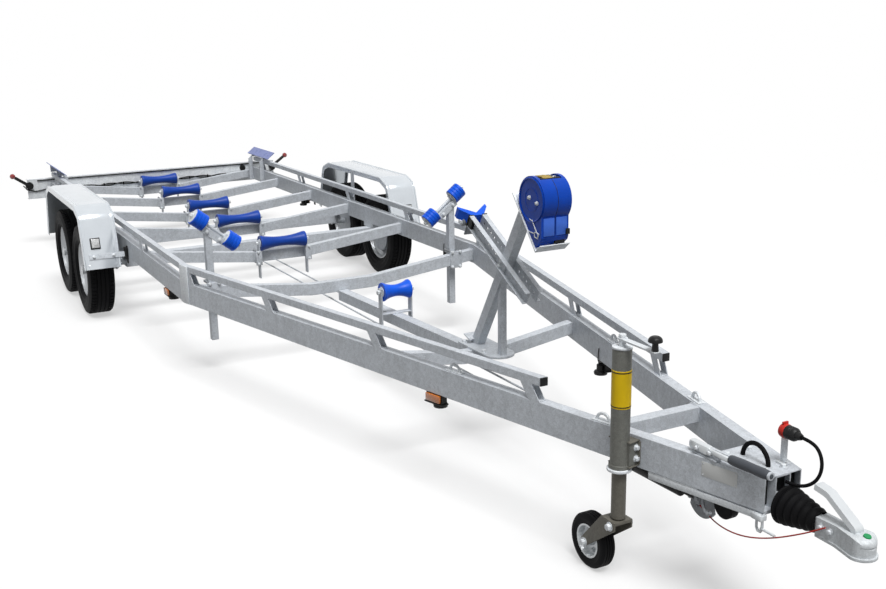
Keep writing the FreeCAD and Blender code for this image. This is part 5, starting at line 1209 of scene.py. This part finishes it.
class TRAILER_OT_cables(bpy.types.Operator):
    """The plug's free cable and the thin breakaway cable"""

    bl_idname = "trailer.cables"
    bl_label = "Cables"

    def execute(self, context):
        # Points of each route, with X counted from the bend.
        lead = [(3.6748, PLUG_Y, PLUG_Z), (3.706, PLUG_Y, PLUG_Z), (3.745, 0.064, 0.680),
                (3.770, 0.060, 0.650), (3.779, 0.052, 0.613), (3.769, 0.042, 0.577),
                (3.741, 0.028, 0.552), (3.705, 0.014, 0.545), (3.670, 0.014, 0.545)]
        wire = [(3.3519, -0.065, 0.349), (3.412, -0.076, 0.334), (3.474, -0.085, 0.328),
                (3.540, -0.090, 0.332), (3.606, -0.091, 0.345), (3.670, -0.086, 0.366),
                (3.732, -0.077, 0.393), (3.790, -0.064, 0.424), (3.842, -0.049, 0.454),
                (3.886, -0.0326, 0.484)]
        self.lay_cord("plug_lead", "plug_cable", lead, 0.006, "soft_rubber")
        self.lay_cord("breakaway_wire", "breakaway_cable", wire, 0.0025, "red_cable")
        return {"FINISHED"}

    def lay_cord(self, name, node, route, radius, material):
        curve = bpy.data.curves.new(name, "CURVE")
        curve.dimensions = "3D"
        curve.bevel_depth = radius
        curve.bevel_resolution = 4
        curve.use_fill_caps = True
        spline = curve.splines.new("NURBS")
        spline.points.add(len(route) - 1)
        route = [(x + BEND_X, y, z) for x, y, z in route]
        for point, spot in zip(spline.points, route):
            point.co = (*spot, 1)
        spline.order_u = 3
        spline.use_endpoint_u = True
        spline.resolution_u = 12
        curve.materials.append(MATERIALS[material])
        item = bpy.data.objects.new(name, curve)
        bpy.context.scene.collection.objects.link(item)
        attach(item, "chassis")
        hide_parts(node)


def maths(tree, operation, *values):
    node = tree.nodes.new("ShaderNodeMath")
    node.operation = operation
    for value, socket in zip(values, node.inputs):
        link(tree, value, socket)
    return node.outputs["Value"]


def seen_rays(tree):
    # One for camera, glossy and transmission rays, nought for the rest.
    rays = tree.nodes.new("ShaderNodeLightPath").outputs
    mirrored = maths(tree, "MAXIMUM", rays["Is Camera Ray"], rays["Is Glossy Ray"])
    return maths(tree, "MAXIMUM", mirrored, rays["Is Transmission Ray"])


class TRAILER_OT_stage(bpy.types.Operator):
    """Pale floor, white surround, soft light and the camera"""

    bl_idname = "trailer.stage"
    bl_label = "Studio"

    # The camera fitted to the photograph, in metres, degrees and pixels.
    CAMERA_SPOT = (6.3961, -2.5351, 2.0638)
    CAMERA_YAW = 152.0601
    CAMERA_PITCH = 14.5397
    CAMERA_ROLL = -0.9675
    CAMERA_FOCAL = 1100.501
    PHOTO_WIDTH = 886

    def execute(self, context):
        look = context.scene.trailer_stage
        context.scene.view_settings.view_transform = "Standard"
        self.lay_floor(context.scene, look)
        self.surround(context.scene, look)
        lamp = bpy.data.lights.new("key", "SUN")
        lamp.energy = look.key
        lamp.angle = math.radians(28)
        item = bpy.data.objects.new("key", lamp)
        context.scene.collection.objects.link(item)
        item.matrix_world = frame_at(Vector((0, 0, 8)), (0.50, -0.08, 1.0))
        self.set_camera(context.scene)
        return {"FINISHED"}

    def lay_floor(self, scene, look):
        mesh = bmesh.new()
        bmesh.ops.create_grid(mesh, x_segments=1, y_segments=1, size=60)
        data = bpy.data.meshes.new("studio_floor")
        mesh.to_mesh(data)
        mesh.free()
        floor = bpy.data.objects.new("studio_floor", data)
        scene.collection.objects.link(floor)
        data.materials.append(self.floor_material(look))

    def floor_material(self, look):
        # What the camera and mirrors see of the floor fades to white, and its shadow stays. Other rays get
        # its bounce.
        material, tree, lit = finish_base("studio_floor", 0.9, specular=0.0)
        seen = seen_rays(tree)
        link(tree, mix(tree, seen, (look.bounce,) * 3, tuple(look.floor)), lit.inputs["Base Color"])
        place = tree.nodes.new("ShaderNodeTexCoord")
        reach = tree.nodes.new("ShaderNodeVectorMath")
        reach.operation = "LENGTH"
        link(tree, place.outputs["Object"], reach.inputs[0])
        away = tree.nodes.new("ShaderNodeMapRange")
        away.interpolation_type = "SMOOTHSTEP"
        for name, value in (("From Min", 4.0), ("From Max", 9.0), ("To Min", 0.5), ("To Max", 1.0)):
            away.inputs[name].default_value = value
        link(tree, reach.outputs["Value"], away.inputs["Value"])
        glow = tree.nodes.new("ShaderNodeEmission")
        either = tree.nodes.new("ShaderNodeMixShader")
        link(tree, maths(tree, "MULTIPLY", away.outputs["Result"], seen), either.inputs["Fac"])
        link(tree, lit.outputs["BSDF"], either.inputs[1])
        link(tree, glow.outputs["Emission"], either.inputs[2])
        link(tree, either.outputs["Shader"], tree.nodes["Material Output"].inputs["Surface"])
        return material

    def surround(self, scene, look):
        # White for the camera and mirrors, and a soft sky, stronger overhead, for the rest.
        world = bpy.data.worlds.new("studio")
        scene.world = world
        world.use_nodes = True
        tree = world.node_tree
        place = tree.nodes.new("ShaderNodeTexCoord")
        parts = tree.nodes.new("ShaderNodeSeparateXYZ")
        link(tree, place.outputs["Generated"], parts.inputs["Vector"])
        power = tree.nodes.new("ShaderNodeMix")
        link(tree, seen_rays(tree), power.inputs[0])
        link(tree, spread(tree, parts.outputs["Z"], look.sky * 0.25, look.sky), power.inputs[2])
        power.inputs[3].default_value = 1.0
        background = tree.nodes["Background"]
        background.inputs["Color"].default_value = (1, 1, 1, 1)
        link(tree, power.outputs[0], background.inputs["Strength"])

    def set_camera(self, scene):
        yaw = math.radians(self.CAMERA_YAW)
        pitch = math.radians(self.CAMERA_PITCH)
        roll = math.radians(self.CAMERA_ROLL)
        ahead = Vector((math.cos(yaw) * math.cos(pitch), math.sin(yaw) * math.cos(pitch), -math.sin(pitch)))
        right = ahead.cross(Vector((0, 0, 1))).normalized()
        up = right.cross(ahead)
        across = right * math.cos(roll) + up * math.sin(roll)
        rise = up * math.cos(roll) - right * math.sin(roll)
        camera = bpy.data.cameras.new("camera")
        camera.sensor_width = 36
        camera.lens = camera.sensor_width * self.CAMERA_FOCAL / self.PHOTO_WIDTH
        camera.clip_end = 300
        item = bpy.data.objects.new("camera", camera)
        scene.collection.objects.link(item)
        turn = Matrix((across, rise, -ahead)).transposed().to_4x4()
        item.matrix_world = Matrix.Translation(self.CAMERA_SPOT) @ turn
        scene.camera = item


class TRAILER_PT_sidebar(bpy.types.Panel):
    bl_label = "Boat Trailer"
    bl_idname = "TRAILER_PT_sidebar"
    bl_space_type = "VIEW_3D"
    bl_region_type = "UI"
    bl_category = "Trailer"

    def draw(self, context):
        for group in SETTINGS:
            settings = getattr(context.scene, group)
            for name in settings.__annotations__:
                self.layout.prop(settings, name)
        for step in STEPS:
            self.layout.operator(step.bl_idname)


STEPS = (TRAILER_OT_finishes, TRAILER_OT_cables, TRAILER_OT_stage, TRAILER_OT_tyres, TRAILER_OT_wheel_fixings,
         TRAILER_OT_jockey, TRAILER_OT_winch, TRAILER_OT_stand, TRAILER_OT_side_rollers,
         TRAILER_OT_keel_fittings, TRAILER_OT_guard_fittings, TRAILER_OT_frame_fittings, TRAILER_OT_lamps,
         TRAILER_OT_nose)
SETTINGS = {"trailer_finish": FinishSettings, "trailer_tyre": TyreSettings, "trailer_fixing": FixingSettings,
            "trailer_stage": StageSettings}


def register():
    for group in SETTINGS.values():
        bpy.utils.register_class(group)
    for name, group in SETTINGS.items():
        setattr(bpy.types.Scene, name, PointerProperty(type=group))
    for step in STEPS:
        bpy.utils.register_class(step)
    bpy.utils.register_class(TRAILER_PT_sidebar)


def unregister():
    bpy.utils.unregister_class(TRAILER_PT_sidebar)
    for step in reversed(STEPS):
        bpy.utils.unregister_class(step)
    for name, group in SETTINGS.items():
        delattr(bpy.types.Scene, name)
        bpy.utils.unregister_class(group)


def main():
    register()
    for step in STEPS:
        module, name = step.bl_idname.split(".")
        getattr(getattr(bpy.ops, module), name)()


if __name__ == "__main__":
    main()
